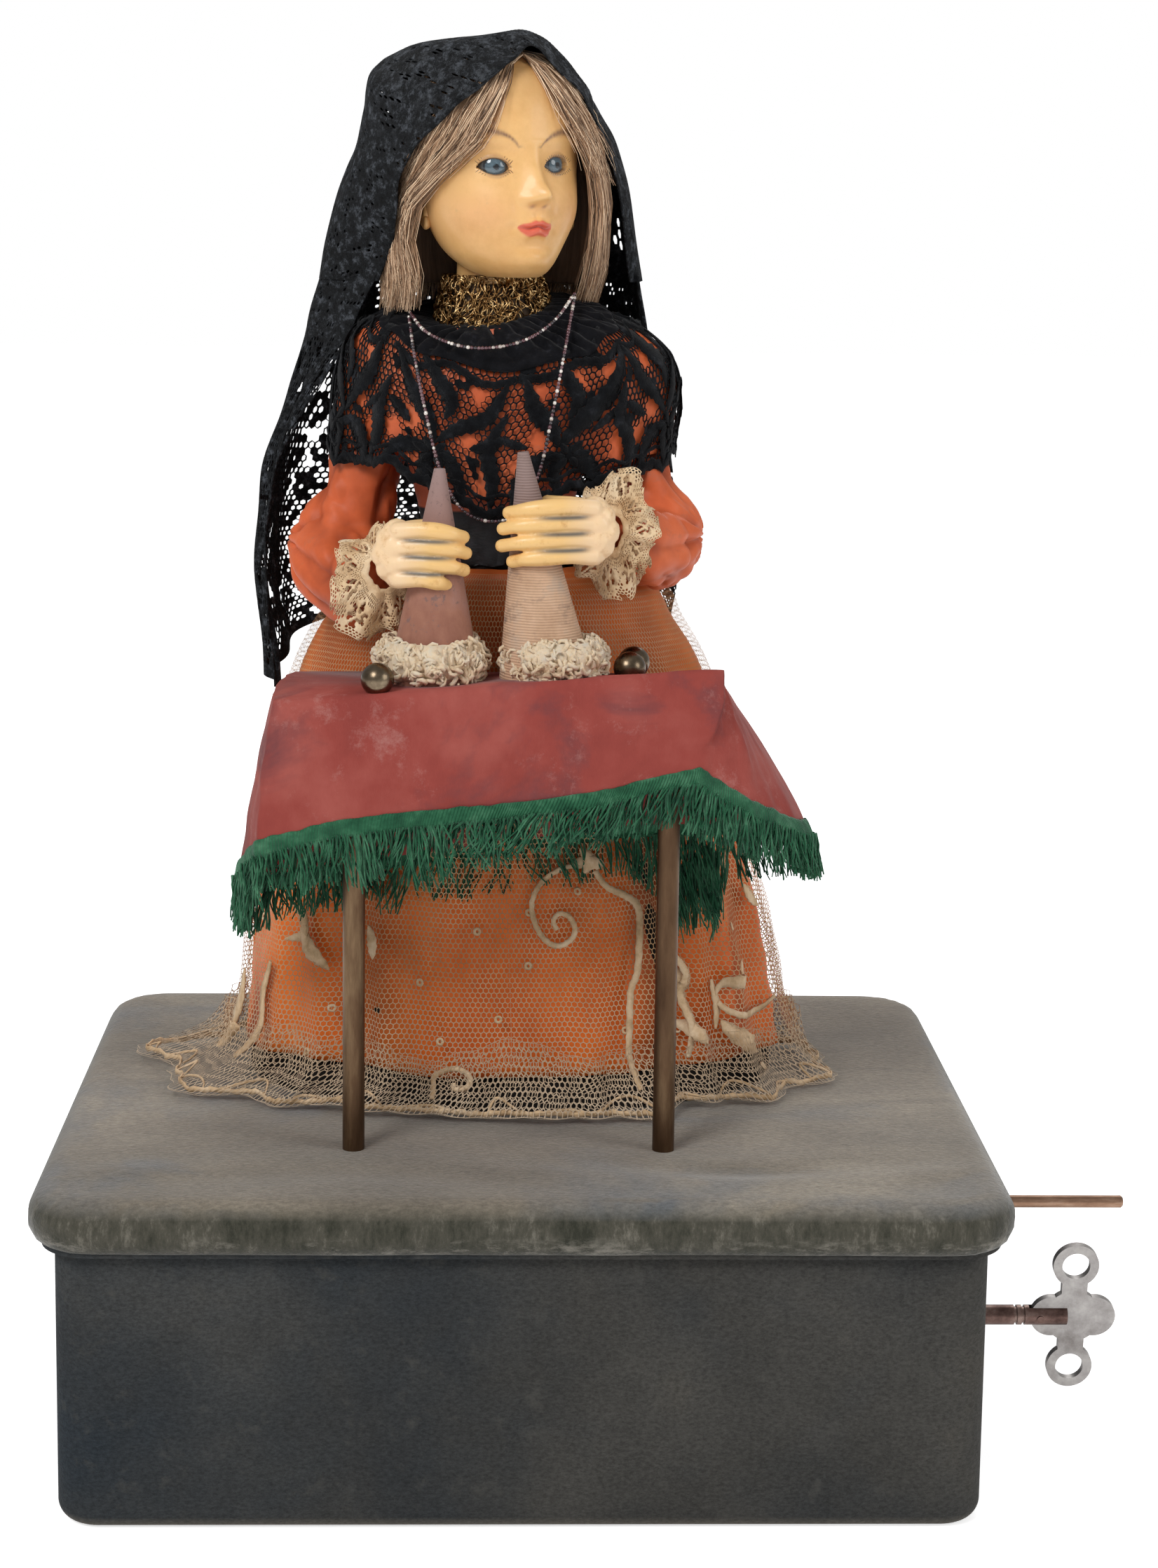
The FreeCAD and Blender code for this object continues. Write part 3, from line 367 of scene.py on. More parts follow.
lid_velvet, tree, shader = finish("lid_velvet", 0.95, sheen=0.5)
clouds = mottled(tree, (7, 7, 0.62, (1, 1.6, 1.6)), (0.32, (0.19, 0.165, 0.13)), (0.5, (0.29, 0.25, 0.195)),
                 (0.66, (0.42, 0.365, 0.285)))
blue = patches(tree, (11, 5, 0.6, (1, 1, 1), 0.6), 0.50, 0.66, 0.9)
tone = blended(tree, blue, clouds, (0.17, 0.185, 0.20))
streaks = patches(tree, (60, 5, 0.7, (0.25, 1.5, 1)), 0.55, 0.7)
tone = blended(tree, streaks, tone, (0.25, 0.22, 0.175))
pile = mottled(tree, (560, 5, 0.85, (0.8, 1.4, 1)), (0.36, (0.45, 0.45, 0.45)), (0.64, (1, 1, 1)))
tone = blended(tree, 0.8, tone, pile, "MULTIPLY")
side_dark = band(tree, high.z - 0.0012, high.z - 0.0050)
bristle = mottled(tree, (130, 6, 0.8, (1, 1, 0.35)), (0.36, (0.035, 0.036, 0.026)),
                  (0.55, (0.085, 0.080, 0.062)), (0.7, (0.21, 0.195, 0.16)))
tone = blended(tree, side_dark, tone, bristle)
rub = patches(tree, (55, 6, 0.75, (1, 1, 2.5)), 0.52, 0.64)
worn = product(tree, rub, band(tree, low.z + 0.0085, low.z + 0.0035))
tone = blended(tree, worn, tone, (0.27, 0.25, 0.21))
covered(tree, shader, tone, (0.5, 0.0006, 700, 4, 0.7))
lid.data.materials.append(lid_velvet)
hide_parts("lid_cover")
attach(lid, "stand")

# ---- Key, shank, start rod and the works: stamped dull steel, a browned shank, brass wire ----
# The key's bow is tumbled steel with fine scratches; the rod and the legs carry a brown patina.


def metal_finish(name, dark, mid, pale, rough, scale=60, stretch=(1, 1, 1)):
    """Worn metal: three tones in clouds, its shine uneven and its surface faintly pitted."""
    mat, tree, shader = finish(name, rough, metal=1.0)
    tone = mottled(tree, (scale, 6, 0.7, stretch), (0.3, dark), (0.5, mid), (0.7, pale))
    matt = node(tree, "MapRange", To_Min=rough - 0.12, To_Max=rough + 0.15)
    link(tree, speckle(tree, scale * 2.5, 4, 0.7, stretch), matt.inputs["Value"],
         matt.outputs[0], shader.inputs["Roughness"])
    covered(tree, shader, tone, (0.12, 0.0003, scale * 9, 3, 0.7, stretch))
    return mat


bow_steel = metal_finish("bow_steel", (0.22, 0.20, 0.19), (0.36, 0.34, 0.33), (0.50, 0.48, 0.46), 0.5, 90)
shank_steel = metal_finish("shank_steel", (0.06, 0.035, 0.03), (0.16, 0.10, 0.085), (0.30, 0.22, 0.19), 0.42,
                           120)
rod_brass = metal_finish("rod_brass", (0.13, 0.07, 0.045), (0.30, 0.18, 0.12), (0.50, 0.35, 0.26), 0.4, 110,
                         (0.3, 1, 1))
leg_brass = metal_finish("leg_brass", (0.055, 0.03, 0.018), (0.12, 0.07, 0.04), (0.26, 0.175, 0.10), 0.42, 60,
                         (1, 1, 0.18))
works_brass = metal_finish("works_brass", (0.35, 0.24, 0.10), (0.55, 0.40, 0.18), (0.70, 0.54, 0.28), 0.35)
ball_bronze = metal_finish("ball_bronze", (0.06, 0.045, 0.03), (0.16, 0.12, 0.08), (0.42, 0.34, 0.22), 0.26,
                           50)
repaint(bow_steel, "key_bow", "winding_arbor", "camshaft", "head_spindle")
repaint(shank_steel, "key_shank")
repaint(rod_brass, "start_stop_rod")
repaint(leg_brass, "table_leg_left", "table_leg_right")
repaint(ball_bronze, "table_balls")
repaint(works_brass, "motor_frame", "camshaft_bracket", "spring_barrel", "great_wheel", "second_arbor",
        "cam_wheel", "fly", "trick_left", "trick_right")

# ---- Tablecloth: brick-red cotton, stiff with dust, over the tray and tented at its right front corner ----
# One square laid over the table; each side hangs from the table's edge and spreads at its lower hem.
# Hanging edge, front first: place along the table's rim, then the hem under it, in millimetres.
rim_and_hem = (((-72, -36, 248.6), (-86, -34, 183)), ((-76, -56, 248.4), (-87, -57, 192)),
               ((-75.5, -77.5, 247.0), (-80, -82, 204)), ((-50, -79, 248.8), (-55, -82.6, 210.7)),
               ((-20, -79, 251.2), (-31, -83, 213.9)), ((12, -79, 254.0), (-4, -83, 216.5)),
               ((38, -79, 256.4), (25, -83, 221.2)), ((54.5, -78.5, 257.6), (49, -83, 227.4)),
               ((57.5, -72, 252.5), (66, -80, 217.0)), ((58.5, -55, 249.8), (82, -68, 208.5)),
               ((58.0, -36, 248.8), (87, -44, 203.5)), ((20, -33.6, 248.6), (34, -32.2, 200)),
               ((-40, -33.6, 248.5), (-50, -32.2, 188)), ((-72, -36, 248.6), (-86, -34, 183)))


def along(stops, share):
    """A point on a smooth line through stops, by its share of their count."""
    spans = len(stops) - 1
    place = min(max(share, 0.0), 0.99999) * spans
    k = int(place)
    t = place - k
    before = stops[max(k - 1, 0)] if k > 0 else stops[-2]
    after = stops[min(k + 2, spans)] if k + 2 <= spans else stops[1]
    a, b = stops[k], stops[k + 1]
    ease = t * t * (3 - 2 * t)
    blend = a.lerp(b, t * 0.5 + ease * 0.5)
    return blend + ((b - before) * (1 - t) - (after - a) * t) * (t * (1 - t)) * 0.12


# Pressed and pulled lines in the cloth: share round the rim, how far each runs sideways, its height and
# its width.
cloth_creases = ((0.5385, 0.0, 0.0052, 0.010), (0.415, 0.030, -0.0010, 0.006), (0.300, -0.020, 0.0009, 0.008),
                 (0.180, 0.012, 0.0012, 0.008), (0.470, -0.040, -0.0009, 0.007),
                 (0.625, 0.020, 0.0012, 0.007))
rim_points = [Vector(p[0]) * 0.001 for p in rim_and_hem]
hem_points = [Vector(p[1]) * 0.001 for p in rim_and_hem]


def outward(place):
    """The level way out from the table's middle at a place on its cloth."""
    return Vector((place.x + 0.010, place.y + 0.056, 0)).normalized()


def hanging_cloth(share, drop):
    """A place on the hanging part: share runs round the rim, drop from 0 at the rim to 1 at the hem."""
    place = along(rim_points, share).lerp(along(hem_points, share), drop)
    belly = math.sin(drop * math.pi) * 0.0012
    ripple = wobble(share * 26, drop * 1.6, 4.0) * 0.0016 * drop
    dent = wobble(share * 60, drop * 5, 9.0) * 0.0006
    depth = math.sin(math.pi * min(1.0, 0.25 + drop)) ** 0.5
    for line, slope, height, wide in cloth_creases:
        dent += height * math.exp(-abs(share - line - slope * (drop - 0.5)) / wide) * depth
    return place + outward(place) * (belly + ripple + dent)


def piece_from(bm, name, body, mat, wall=0.0, offset=0.0):
    """Close a bmesh into a named piece riding on a body, or on none; a sheet gets its thickness."""
    made = mesh_placed(name, bm)
    rounded(made.data)
    made.data.materials.append(mat)
    if body:
        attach(made, body)
    if wall:
        shell = made.modifiers.new("thickness", "SOLIDIFY")
        shell.thickness = wall
        shell.offset = offset
    return made


def weld(bm, reach=0.00005, kept=None):
    """Join the edges of a sheet where they meet: points nearer than a reach in metres."""
    bmesh.ops.remove_doubles(bm, verts=bm.verts if kept is None else kept, dist=reach)


red_cotton = clouded("red_cotton", 0.92, (24, 6, 0.6),
                     ((0.3, (0.22, 0.042, 0.036)), (0.5, (0.31, 0.062, 0.050)), (0.68, (0.40, 0.105, 0.085))),
                     (((0.17, 0.055, 0.058), patches, (17, 5, 0.65, (1, 1, 1), 1.2), 0.50, 0.66, 0.8),
                      ((0.52, 0.27, 0.24), patches, (45, 8, 0.85), 0.56, 0.72, 0.5)),
                     (0.35, 0.0003, 1500, 2, 0.6, (1, 1, 0.35)), sheen=0.15)

trick_hole = 0.009
bm = grid(220, 22)
for vert in bm.verts:
    vert.co = hanging_cloth(vert.co.x + 0.5, 0.5 - vert.co.y)
weld(bm)
rim_edges = [e for e in bm.edges if e.is_boundary and min(v.co.z for v in e.verts) > 0.2455]
# The cloth is cut away over each hole of the tray, where a ball rises into its cone.
for x, height in ((-28.6, 249.6), (5.6, 251.2)):
    middle = Matrix.Translation(Vector((x, -55, height)) * 0.001)
    ring = bmesh.ops.create_circle(bm, segments=40, radius=trick_hole, matrix=middle)
    rim_edges += list({edge for vert in ring["verts"] for edge in vert.link_edges})
bmesh.ops.triangle_fill(bm, edges=rim_edges, use_beauty=True)
bmesh.ops.recalc_face_normals(bm, faces=bm.faces)
red_cloth = piece_from(bm, "red_tablecloth", "stand", red_cotton, 0.0008)
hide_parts("tablecloth")

# ---- Braid and thread fringe: green woven braid sewn over the hem, its threads hanging in clumps ----
# The braid is ribbed across every millimetre; the fringe is uneven, matted and longer at the back.
braid_height = 0.0054
fringe_length = 0.0135
braid_green = clouded("braid_green", 0.85, (130, 5, 0.7),
                      ((0.3, (0.010, 0.055, 0.028)), (0.5, (0.028, 0.125, 0.062)),
                       (0.7, (0.085, 0.24, 0.135))),
                      sheen=0.2)


def hem_frame(share):
    """The cloth's hem at a share of the way round: its place, the way down there and the way out."""
    hem = hanging_cloth(share, 1.0)
    return hem, (hem - hanging_cloth(share, 0.9)).normalized(), outward(hem)


rib_steps = 1180
bm = grid(rib_steps, 6)
for vert in bm.verts:
    share, fall = vert.co.x + 0.5, vert.co.y + 0.5
    hem, down, out = hem_frame(share)
    rib = 0.00035 * (1 if round(share * rib_steps) % 3 else -1)
    selvage = 0.0003 * (1 - abs(2 * fall - 1) ** 4)
    wander = wobble(share * 90, 2, 2) * 0.0006
    vert.co = hem + down * (fall * braid_height - 0.0015 + wander) + out * (0.0007 + rib * 0.7 + selvage)
piece_from(bm, "green_braid", "stand", braid_green, 0.0006)


def strands(name, lines, thickness, body, mat, sides=0):
    """Many fibres as one piece: each line is a list of (place, share of the thickness)."""
    data = bpy.data.curves.new(name, "CURVE")
    data.dimensions = "3D"
    data.bevel_depth = thickness
    data.bevel_resolution = sides
    data.use_fill_caps = True
    for line in lines:
        spline = data.splines.new("POLY")
        spline.points.add(len(line) - 1)
        for point, (place, slim) in zip(spline.points, line):
            point.co = (*place, 1)
            point.radius = slim
    drawn = placed(name, data)
    solid = solid_of(drawn)
    bpy.data.objects.remove(drawn)
    solid.name = name
    made = placed(name, solid)
    solid.materials.clear()
    solid.materials.append(mat)
    rounded(solid)
    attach(made, body)
    return made

random.seed(11)
thread_count = 1700
clump = [random.random() for _ in range(150)]
# Where the fringe hangs longer: share round the rim, how much longer, and over what share.
long_parts = ((0.12, 0.25, 0.05), (0.305, 0.30, 0.025), (0.82, 0.5, 0.03), (0.56, 0.15, 0.03))
threads = []
for k in range(thread_count + 210):
    share = (k + random.random()) / thread_count if k < thread_count else random.uniform(0.811, 0.831)
    group = clump[int(share * 149.99)]
    hem, down, out = hem_frame(share)
    side = Vector((-out.y, out.x, 0))
    length = fringe_length * (0.58 + 0.40 * group + 0.22 * random.random())
    length *= 1 + sum(gain * bell(share - where, wide) for where, gain, wide in long_parts)
    lean = (group - 0.5) * 0.010 + random.uniform(-0.0030, 0.0030)
    lean += ((int(share * 149.99) + 0.5) / 150 - share) * 0.55 * (0.4 + 0.6 * group)
    curl = random.uniform(-0.0026, 0.0026)
    start = hem + down * (braid_height - 0.0022) + out * random.uniform(-0.0002, 0.0012)
    if k >= thread_count:
        start.z -= random.uniform(0.002, 0.015)
    drop = down.lerp(Vector((0, 0, -1)), 0.6).normalized()
    thread = []
    for step in range(5):
        t = step / 4
        bend = side * (lean * t + curl * math.sin(t * 4.2)) + out * (0.0012 * math.sin(t * 3.0 + k))
        thread.append((start + drop * (length * t) + bend, 1.0 - 0.3 * t))
    threads.append(thread)
fringe = strands("thread_fringe", threads, 0.00034, "stand", braid_green)
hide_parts("cloth_fringe")

# ---- Cones: rolled card, one in dusty mauve cloth, one in finely ribbed beige with a mauve top ----
# The cloth is rubbed grey at the tips and soiled above the wool.
mauve_cloth = clouded("mauve_cloth", 0.9, (45, 6, 0.65, (1, 1, 0.6)),
                      ((0.3, (0.24, 0.10, 0.072)), (0.5, (0.37, 0.175, 0.12)), (0.7, (0.40, 0.24, 0.22))),
                      (((0.34, 0.235, 0.22), band, 0.272, 0.316),
                       ((0.20, 0.13, 0.12), patches, (230, 4, 0.8), 0.58, 0.66, 0.8)),
                      (0.3, 0.0003, 1200, 2, 0.6), sheen=0.15)
repaint(mauve_cloth, "cone_left")

ribbed_cloth, tree, shader = finish("ribbed_cloth", 0.9, sheen=0.1)
tone = mottled(tree, (60, 6, 0.7), (0.3, (0.52, 0.32, 0.20)), (0.55, (0.68, 0.45, 0.30)),
               (0.72, (0.56, 0.43, 0.33)))
tone = blended(tree, band(tree, 0.284, 0.306), tone, (0.33, 0.235, 0.215))
ribs = node(tree, "TexWave", Scale=380, Distortion=1.2, Detail_Scale=0.6)
ribs.wave_type = "BANDS"
ribs.bands_direction = "Z"
link(tree, node(tree, "TexCoord").outputs["Object"], ribs.inputs["Vector"])
groove = graded(tree, ribs.outputs["Fac"], (0.0, (0.60, 0.60, 0.60)), (0.6, (1, 1, 1)))
tone = blended(tree, 0.55, tone, groove, "MULTIPLY")
tone = blended(tree, patches(tree, (90, 5, 0.7, (1, 1, 2)), 0.55, 0.7, 0.7), tone, (0.20, 0.14, 0.115))
covered(tree, shader, tone)
nap(tree, shader, ribs.outputs["Fac"], 0.5, 0.0003)
repaint(ribbed_cloth, "cone_right")

# ---- Wool ruffs: a ring of curled cream wool glued round each cone's foot ----
# Each lock is a short fat coil of matted fibre; loose ends stand out of the ring.
cream_wool = clouded("cream_wool", 0.95, (260, 5, 0.75),
                     ((0.28, (0.45, 0.31, 0.18)), (0.45, (0.85, 0.68, 0.47)), (0.65, (0.76, 0.68, 0.55))),
                     relief=(0.6, 0.0006, 1600, 4, 0.8), sheen=0.25,
                     Subsurface_Weight=0.15, Subsurface_Radius=(0.004, 0.003, 0.002))
for side, body in (("left", "left_arm"), ("right", "right_arm")):
    low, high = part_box("cone_ruff_" + side)
    middle = (low + high) / 2
    reach = (high.x - low.x) / 2
    random.seed({"left": 5, "right": 9}[side])
    locks = []
    for k in range(420):
        turn = random.uniform(0, 2 * math.pi)
        rise = random.random()
        inner = reach - 0.0062 - 0.0012 * rise
        bulge = math.sin(math.pi * (0.15 + 0.75 * rise)) * 0.0048
        radial = Vector((math.cos(turn), math.sin(turn), 0))
        home = Vector((middle.x, middle.y, low.z + 0.0016 + rise * (high.z - low.z - 0.0035)))
        home += radial * (inner + bulge * random.uniform(0.5, 1.0))
        axis = Vector((random.uniform(-1, 1), random.uniform(-1, 1), random.uniform(-1, 1))).normalized()
        first = axis.orthogonal().normalized()
        second = axis.cross(first)
        coil = random.uniform(0.0009, 0.0019)
        turns = random.uniform(0.8, 1.5) * 2 * math.pi
        plump = random.uniform(0.45, 0.85)
        line = []
        for step in range(8):
            t = step / 7
            ring_place = first * math.cos(turns * t) + second * math.sin(turns * t)
            slim = plump * (1 - 0.6 * abs(2 * t - 1) ** 3)
            line.append((home + ring_place * coil + axis * (t - 0.5) * 0.0028, slim))
        locks.append(line)
    strands("wool_ruff_" + side, locks, 0.001, body, cream_wool, sides=1)
    bm = bmesh.new()
    foot = reach - 0.0058
    for vert in bmesh.ops.create_circle(bm, segments=64, radius=1.0)["verts"]:
        angle = math.atan2(vert.co.y, vert.co.x)
        vert.co = Vector((middle.x + foot * math.cos(angle), middle.y + foot * math.sin(angle),
                          low.z + 0.0010))
    base_edges = list(bm.edges)
    for climb, spread in ((0.0035, 0.0028), (0.0045, 0.0004), (0.0042, -0.0022)):
        grown = bmesh.ops.extrude_edge_only(bm, edges=base_edges)["geom"]
        base_edges = [g for g in grown if isinstance(g, bmesh.types.BMEdge)]
        for vert in [g for g in grown if isinstance(g, bmesh.types.BMVert)]:
            away = Vector((vert.co.x - middle.x, vert.co.y - middle.y, 0)).normalized()
            lump = noise.noise(vert.co * 420) * 0.0010
            vert.co += away * (spread + lump) + Vector((0, 0, climb))
    matting = piece_from(bm, "wool_matting_" + side, body, cream_wool, 0.0012, -1)
    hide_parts("cone_ruff_" + side)

# ---- Satin skirt: faded orange satin over the stuffed body, in soft upright folds, clear of the lid ----
# The satin is brightest where it stands out; painted shade turns it brown in the folds and towards its top,
# under the table.
# Each row: height, then the left, right, front and back of the skirt there, in millimetres.
satin_rows = ((117, -92, 86, -30.5, 70), (165, -87, 77, -30.5, 66), (205, -80, 67, -30, 55),
              (243, -73, 58, -29.5, 42), (263, -63, 47, -29, 32), (274, -55, 40, -28.5, 27),
              (281, -36, 20, -26, 16))
# Each fold: where it stands round the skirt in degrees (-90 is the front), how far it stands out, and
# its width.
satin_folds = ((-152, 3.4, 8), (-136, 2.6, 5), (-123, -1.5, 5), (-104, 2.6, 9), (-84, 2.2, 8), (-66, 2.4, 5),
               (-54, -2.5, 5.5), (-38, 3.8, 7), (-26, -1.6, 4), (-13, 3.4, 8), (14, 2.2, 9), (44, 2.6, 10),
               (76, 2.2, 9), (104, 2.8, 10), (138, 2.4, 9), (168, 2.6, 9))


def row_at(rows, z):
    """The four reaches of a garment at a height, on a smooth line through its rows."""
    k = 0
    while k < len(rows) - 2 and z > rows[k + 1][0]:
        k += 1
    a, b = rows[k], rows[k + 1]
    t = (z - a[0]) / (b[0] - a[0])
    before, after = rows[max(k - 1, 0)], rows[min(k + 2, len(rows) - 1)]
    reach = []
    for n in range(1, 5):
        rise_a = (b[n] - before[n]) / max(b[0] - before[0], 1e-6) * (b[0] - a[0])
        rise_b = (after[n] - a[n]) / max(after[0] - a[0], 1e-6) * (b[0] - a[0])
        reach.append((2 * t ** 3 - 3 * t ** 2 + 1) * a[n] + (t ** 3 - 2 * t ** 2 + t) * rise_a
                     + (3 * t ** 2 - 2 * t ** 3) * b[n] + (t ** 3 - t ** 2) * rise_b)
    return reach


def oval_place(rows, turn, z, out):
    """A point on a garment's oval at an angle and a height, out from it by so many millimetres."""
    left, right_side, front, back_side = row_at(rows, z)
    across, deep = (right_side - left) / 2 + out, (back_side - front) / 2 + out
    middle = ((left + right_side) / 2, (front + back_side) / 2)
    return Vector((middle[0] + across * math.cos(turn), middle[1] + deep * math.sin(turn), z)) * 0.001


def fold_height(folds, turn, fall):
    """How far the folds stand out at an angle; fall is 0 at the gathered top and 1 at the hem."""
    total = 0.0
    for where, rise, wide in folds:
        total += rise * bell((math.degrees(turn) - where + 180) % 360 - 180, wide)
    return total * fall


def satin_at(turn, z, out=0.0):
    """A place on the satin skirt at an angle and a height in millimetres."""
    wrinkle = wobble(math.cos(turn) * 3, math.sin(turn) * 3, z * 0.035) * 2.0
    bunch = (0.5 - abs(wobble(math.cos(turn) * 4, math.sin(turn) * 2, z * 0.07 + turn))) * 3.0
    folds = fold_height(satin_folds, turn, clamp((272 - z) / 110)) * 0.8
    return oval_place(satin_rows, turn, z, -1.2 + folds + (wrinkle + bunch) * 0.5 + out)


def stored(tree, name, output="Color"):
    """A value or a colour kept point by point on the mesh."""
    kept = node(tree, "Attribute")
    kept.attribute_name = name
    return kept.outputs[output]


# The satin's tones, with painted shade laid over them from a value kept on the mesh: dark brown in its folds
# and under the table.
orange_satin = clouded("orange_satin", 0.46, (22, 5, 0.6, (1, 1, 0.45)),
                       ((0.3, (0.70, 0.13, 0.020)), (0.5, (0.95, 0.21, 0.030)), (0.7, (1.0, 0.29, 0.06))),
                       (((0.45, 0.17, 0.09), patches, (60, 6, 0.75, (1, 1, 0.6)), 0.56, 0.72, 0.45),
                        ((0.15, 0.030, 0.012), stored, "hollow", "Fac")),
                       (0.25, 0.0003, 700, 2, 0.6, (1.6, 1.6, 0.12)), Specular_IOR_Level=0.25)

satin_hem, satin_waist = 117.0, 280.0
bm = grid(240, 52)
for vert in bm.verts:
    turn, climb = vert.co.x * 2 * math.pi, vert.co.y + 0.5
    hem_lift = 1.6 * wobble(math.cos(turn) * 2.4, math.sin(turn) * 2.4, 5)
    vert.co = satin_at(turn, satin_hem + hem_lift * (1 - climb) + climb * (satin_waist - satin_hem))
weld(bm)
bmesh.ops.recalc_face_normals(bm, faces=bm.faces)
satin_skirt = piece_from(bm, "satin_skirt", "stand", orange_satin, 0.0009)


def painted_shade_on(made, depth):
    """Keep on a mesh how much painted shade each of its points gets, for the colour of the satin."""
    shade_values = made.data.attributes.new("hollow", "FLOAT", "POINT")
    for vert in made.data.vertices:
        shade_values.data[vert.index].value = depth(vert.co)


def off_middle(place):
    """How far a place in metres is from the skirt's upright middle line, in millimetres."""
    place = place * 1000
    return (place - Vector((-4, 19, place.z))).length


def skirt_painted_shade(co):
    """How much painted shade the skirt gets at a place: dark between its folds and towards its top, under the
    table.
    """
    turn = math.atan2((co.y - 0.019) / 50, (co.x + 0.004) / 82)
    z = co.z * 1000
    stand_out = off_middle(satin_at(turn, z)) - off_middle(oval_place(satin_rows, turn, z, 0.0))
    top_shade = clamp((co.z - 0.150) / 0.060) * 0.30
    return max(0.0, min(0.9, 0.26 - 0.24 * (stand_out + 1.2) + top_shade))


painted_shade_on(satin_skirt, skirt_painted_shade)
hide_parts("underskirt")

# ---- Net overskirt: cream hexagon net gathered at the waist, falling in folds and trailing on the lid ----
# The net's edge is corded and scalloped; leaves, dots and scrolls of tape are sewn on it.
net_rows = ((105.4, -112, 98, -35, 78), (117, -96.5, 89, -33.5, 73.5), (165, -88.6, 78.6, -32, 67.6),
            (205, -81.6, 67.6, -31.5, 56.6), (243, -75.4, 60.4, -31, 43.4), (263, -65.4, 49.4, -30.6, 33.4),
            (274, -57.4, 42.4, -30.2, 28.6), (281, -37.8, 21.8, -27.4, 17.4))
net_folds = ((-163, 3.4, 4.5), (-146, 3.6, 4), (-133, 3.0, 3.4), (-116, 3.4, 3.2), (-96, 1.0, 7),
             (-72, 3.6, 3.6), (-60, 4.2, 3.2), (-49, 3.4, 2.8), (-40, 4.2, 3.4), (-18, 3.4, 4.6), (0, 3.0, 4),
             (16, 3.4, 4), (34, 3.6, 4), (52, 3.2, 4), (70, 3.8, 5), (90, 3.4, 4), (108, 3.8, 5),
             (127, 3.6, 4), (148, 3.8, 5), (168, 3.4, 4))

# Where the net trails on the lid: angle in degrees, how far it reaches and how wide.
net_trails = ((173, 17, 9), (-152, 13, 8), (-168, 4, 6), (-128, 3, 6), (-84, 5, 9), (-66, 6, 6), (-38, 3, 6),
              (-20, 5, 9))
net_hem, net_waist = 105.4, 279.0


def net_at(turn, climb, out=0.0):
    """A place on the net: climb is 0 at the hem on the lid and 1 at the waist."""
    z = net_hem + climb * (net_waist - net_hem)
    fall = clamp((268 - z) / 120)
    spread = clamp((126 - z) / 21) ** 1.7
    degrees = math.degrees(turn)
    under = 0.8 * fold_height(satin_folds, turn, clamp((272 - z) / 110))
    sway = degrees + 2.4 * math.sin(z * 0.045 + degrees * 0.05)
    folds = fold_height(net_folds, math.radians(sway), fall ** 1.3)
    trail = sum(reach * bell((degrees - where + 180) % 360 - 180, wide) for where, reach, wide in net_trails)
    scallop = 1.2 * abs(math.sin(turn * 23)) * spread
    crumple = 1.5 * wobble(math.cos(turn) * 7, math.sin(turn) * 7, z * 0.06)
    place = oval_place(net_rows, turn, z, under + folds + trail * spread + scallop + crumple * 0.7 + out)
    lift = 1.6 * (0.5 + wobble(math.cos(turn) * 6, math.sin(turn) * 6, 1)) * spread
    place.z += max(0.0, lift) * 0.001
    return place


def honeycomb(across, rows, thread, place, keep=None, close=False):
    """Hexagon net of so many holes across and rows, with threads of a width in metres.

    place maps (u, v) to the surface; keep says which holes are filled (True) or torn wide (None)."""
    bm = grid(across * 2, rows)
    column = {}
    for vert in bm.verts:
        column[vert] = (round((vert.co.x + 0.5) * across * 2), round((vert.co.y + 0.5) * rows))
    drop = []
    for edge in bm.edges:
        (i, j), (k, m) = column[edge.verts[0]], column[edge.verts[1]]
        if i == k and 0 < i < across * 2 and (i + min(j, m)) % 2 == 0:
            drop.append(edge)
    bmesh.ops.dissolve_edges(bm, edges=drop, use_verts=False)
    for vert in bm.verts:
        i, j = column[vert]
        shift = (1 / 6 if (i + j) % 2 else -1 / 6) if 0 < j < rows else 0.0
        vert.co = place(i / (across * 2), (j + shift) / rows)
    holes = list(bm.faces)
    filled, gone = set(), []
    if keep:
        for face in holes:
            spot = [column[v] for v in face.verts]
            u = sum(s[0] for s in spot) / len(spot) / (across * 2)
            v = sum(s[1] for s in spot) / len(spot) / rows
            solid = keep(u, v)
            if solid is None:
                gone.append(face)
            elif solid:
                filled.add(face)
        bmesh.ops.delete(bm, geom=gone, context="FACES")
    if close:
        weld(bm, 0.00008, [v for v in bm.verts if v.is_boundary])
    holes = [face for face in holes if face.is_valid and face not in filled]
    sizes = sorted(face.calc_area() for face in holes)
    usual = max(sizes[len(sizes) // 2], 1e-12)
    slims = [max(0.45, min(1.0, face.calc_area() / usual)) for face in holes]
    bmesh.ops.inset_individual(bm, faces=holes, thickness=0.0, depth=0.0, use_even_offset=False)
    for face, slim in zip(holes, slims):
        middle = face.calc_center_median()
        for vert in face.verts:
            inward = middle - vert.co
            vert.co += inward * min(0.55, thread * slim * 1.15 / max(inward.length, 1e-6))
    bmesh.ops.delete(bm, geom=holes, context="FACES")
    return bm


def eased(t, a, b, leaving, arriving):
    """A point on the smooth curve from a to b, with twice its slope where it leaves and where it arrives."""
    return (a * (2 * t ** 3 - 3 * t ** 2 + 1) + leaving * 0.5 * (t ** 3 - 2 * t ** 2 + t)
            + b * (3 * t ** 2 - 2 * t ** 3) + arriving * 0.5 * (t ** 3 - t ** 2))


def surface_line(place, points, out, steps=10):
    """A smooth path laid on a surface through (u, v) points."""
    line = []
    flat = [Vector(p) for p in points]
    for k in range(len(flat) - 1):
        before, after = flat[max(k - 1, 0)], flat[min(k + 2, len(flat) - 1)]
        for step in range(steps + (k == len(flat) - 2)):
            t = step / steps
            spot = eased(t, flat[k], flat[k + 1], flat[k + 1] - before, after - flat[k])
            line.append(place(spot.x, spot.y, out))
    return line


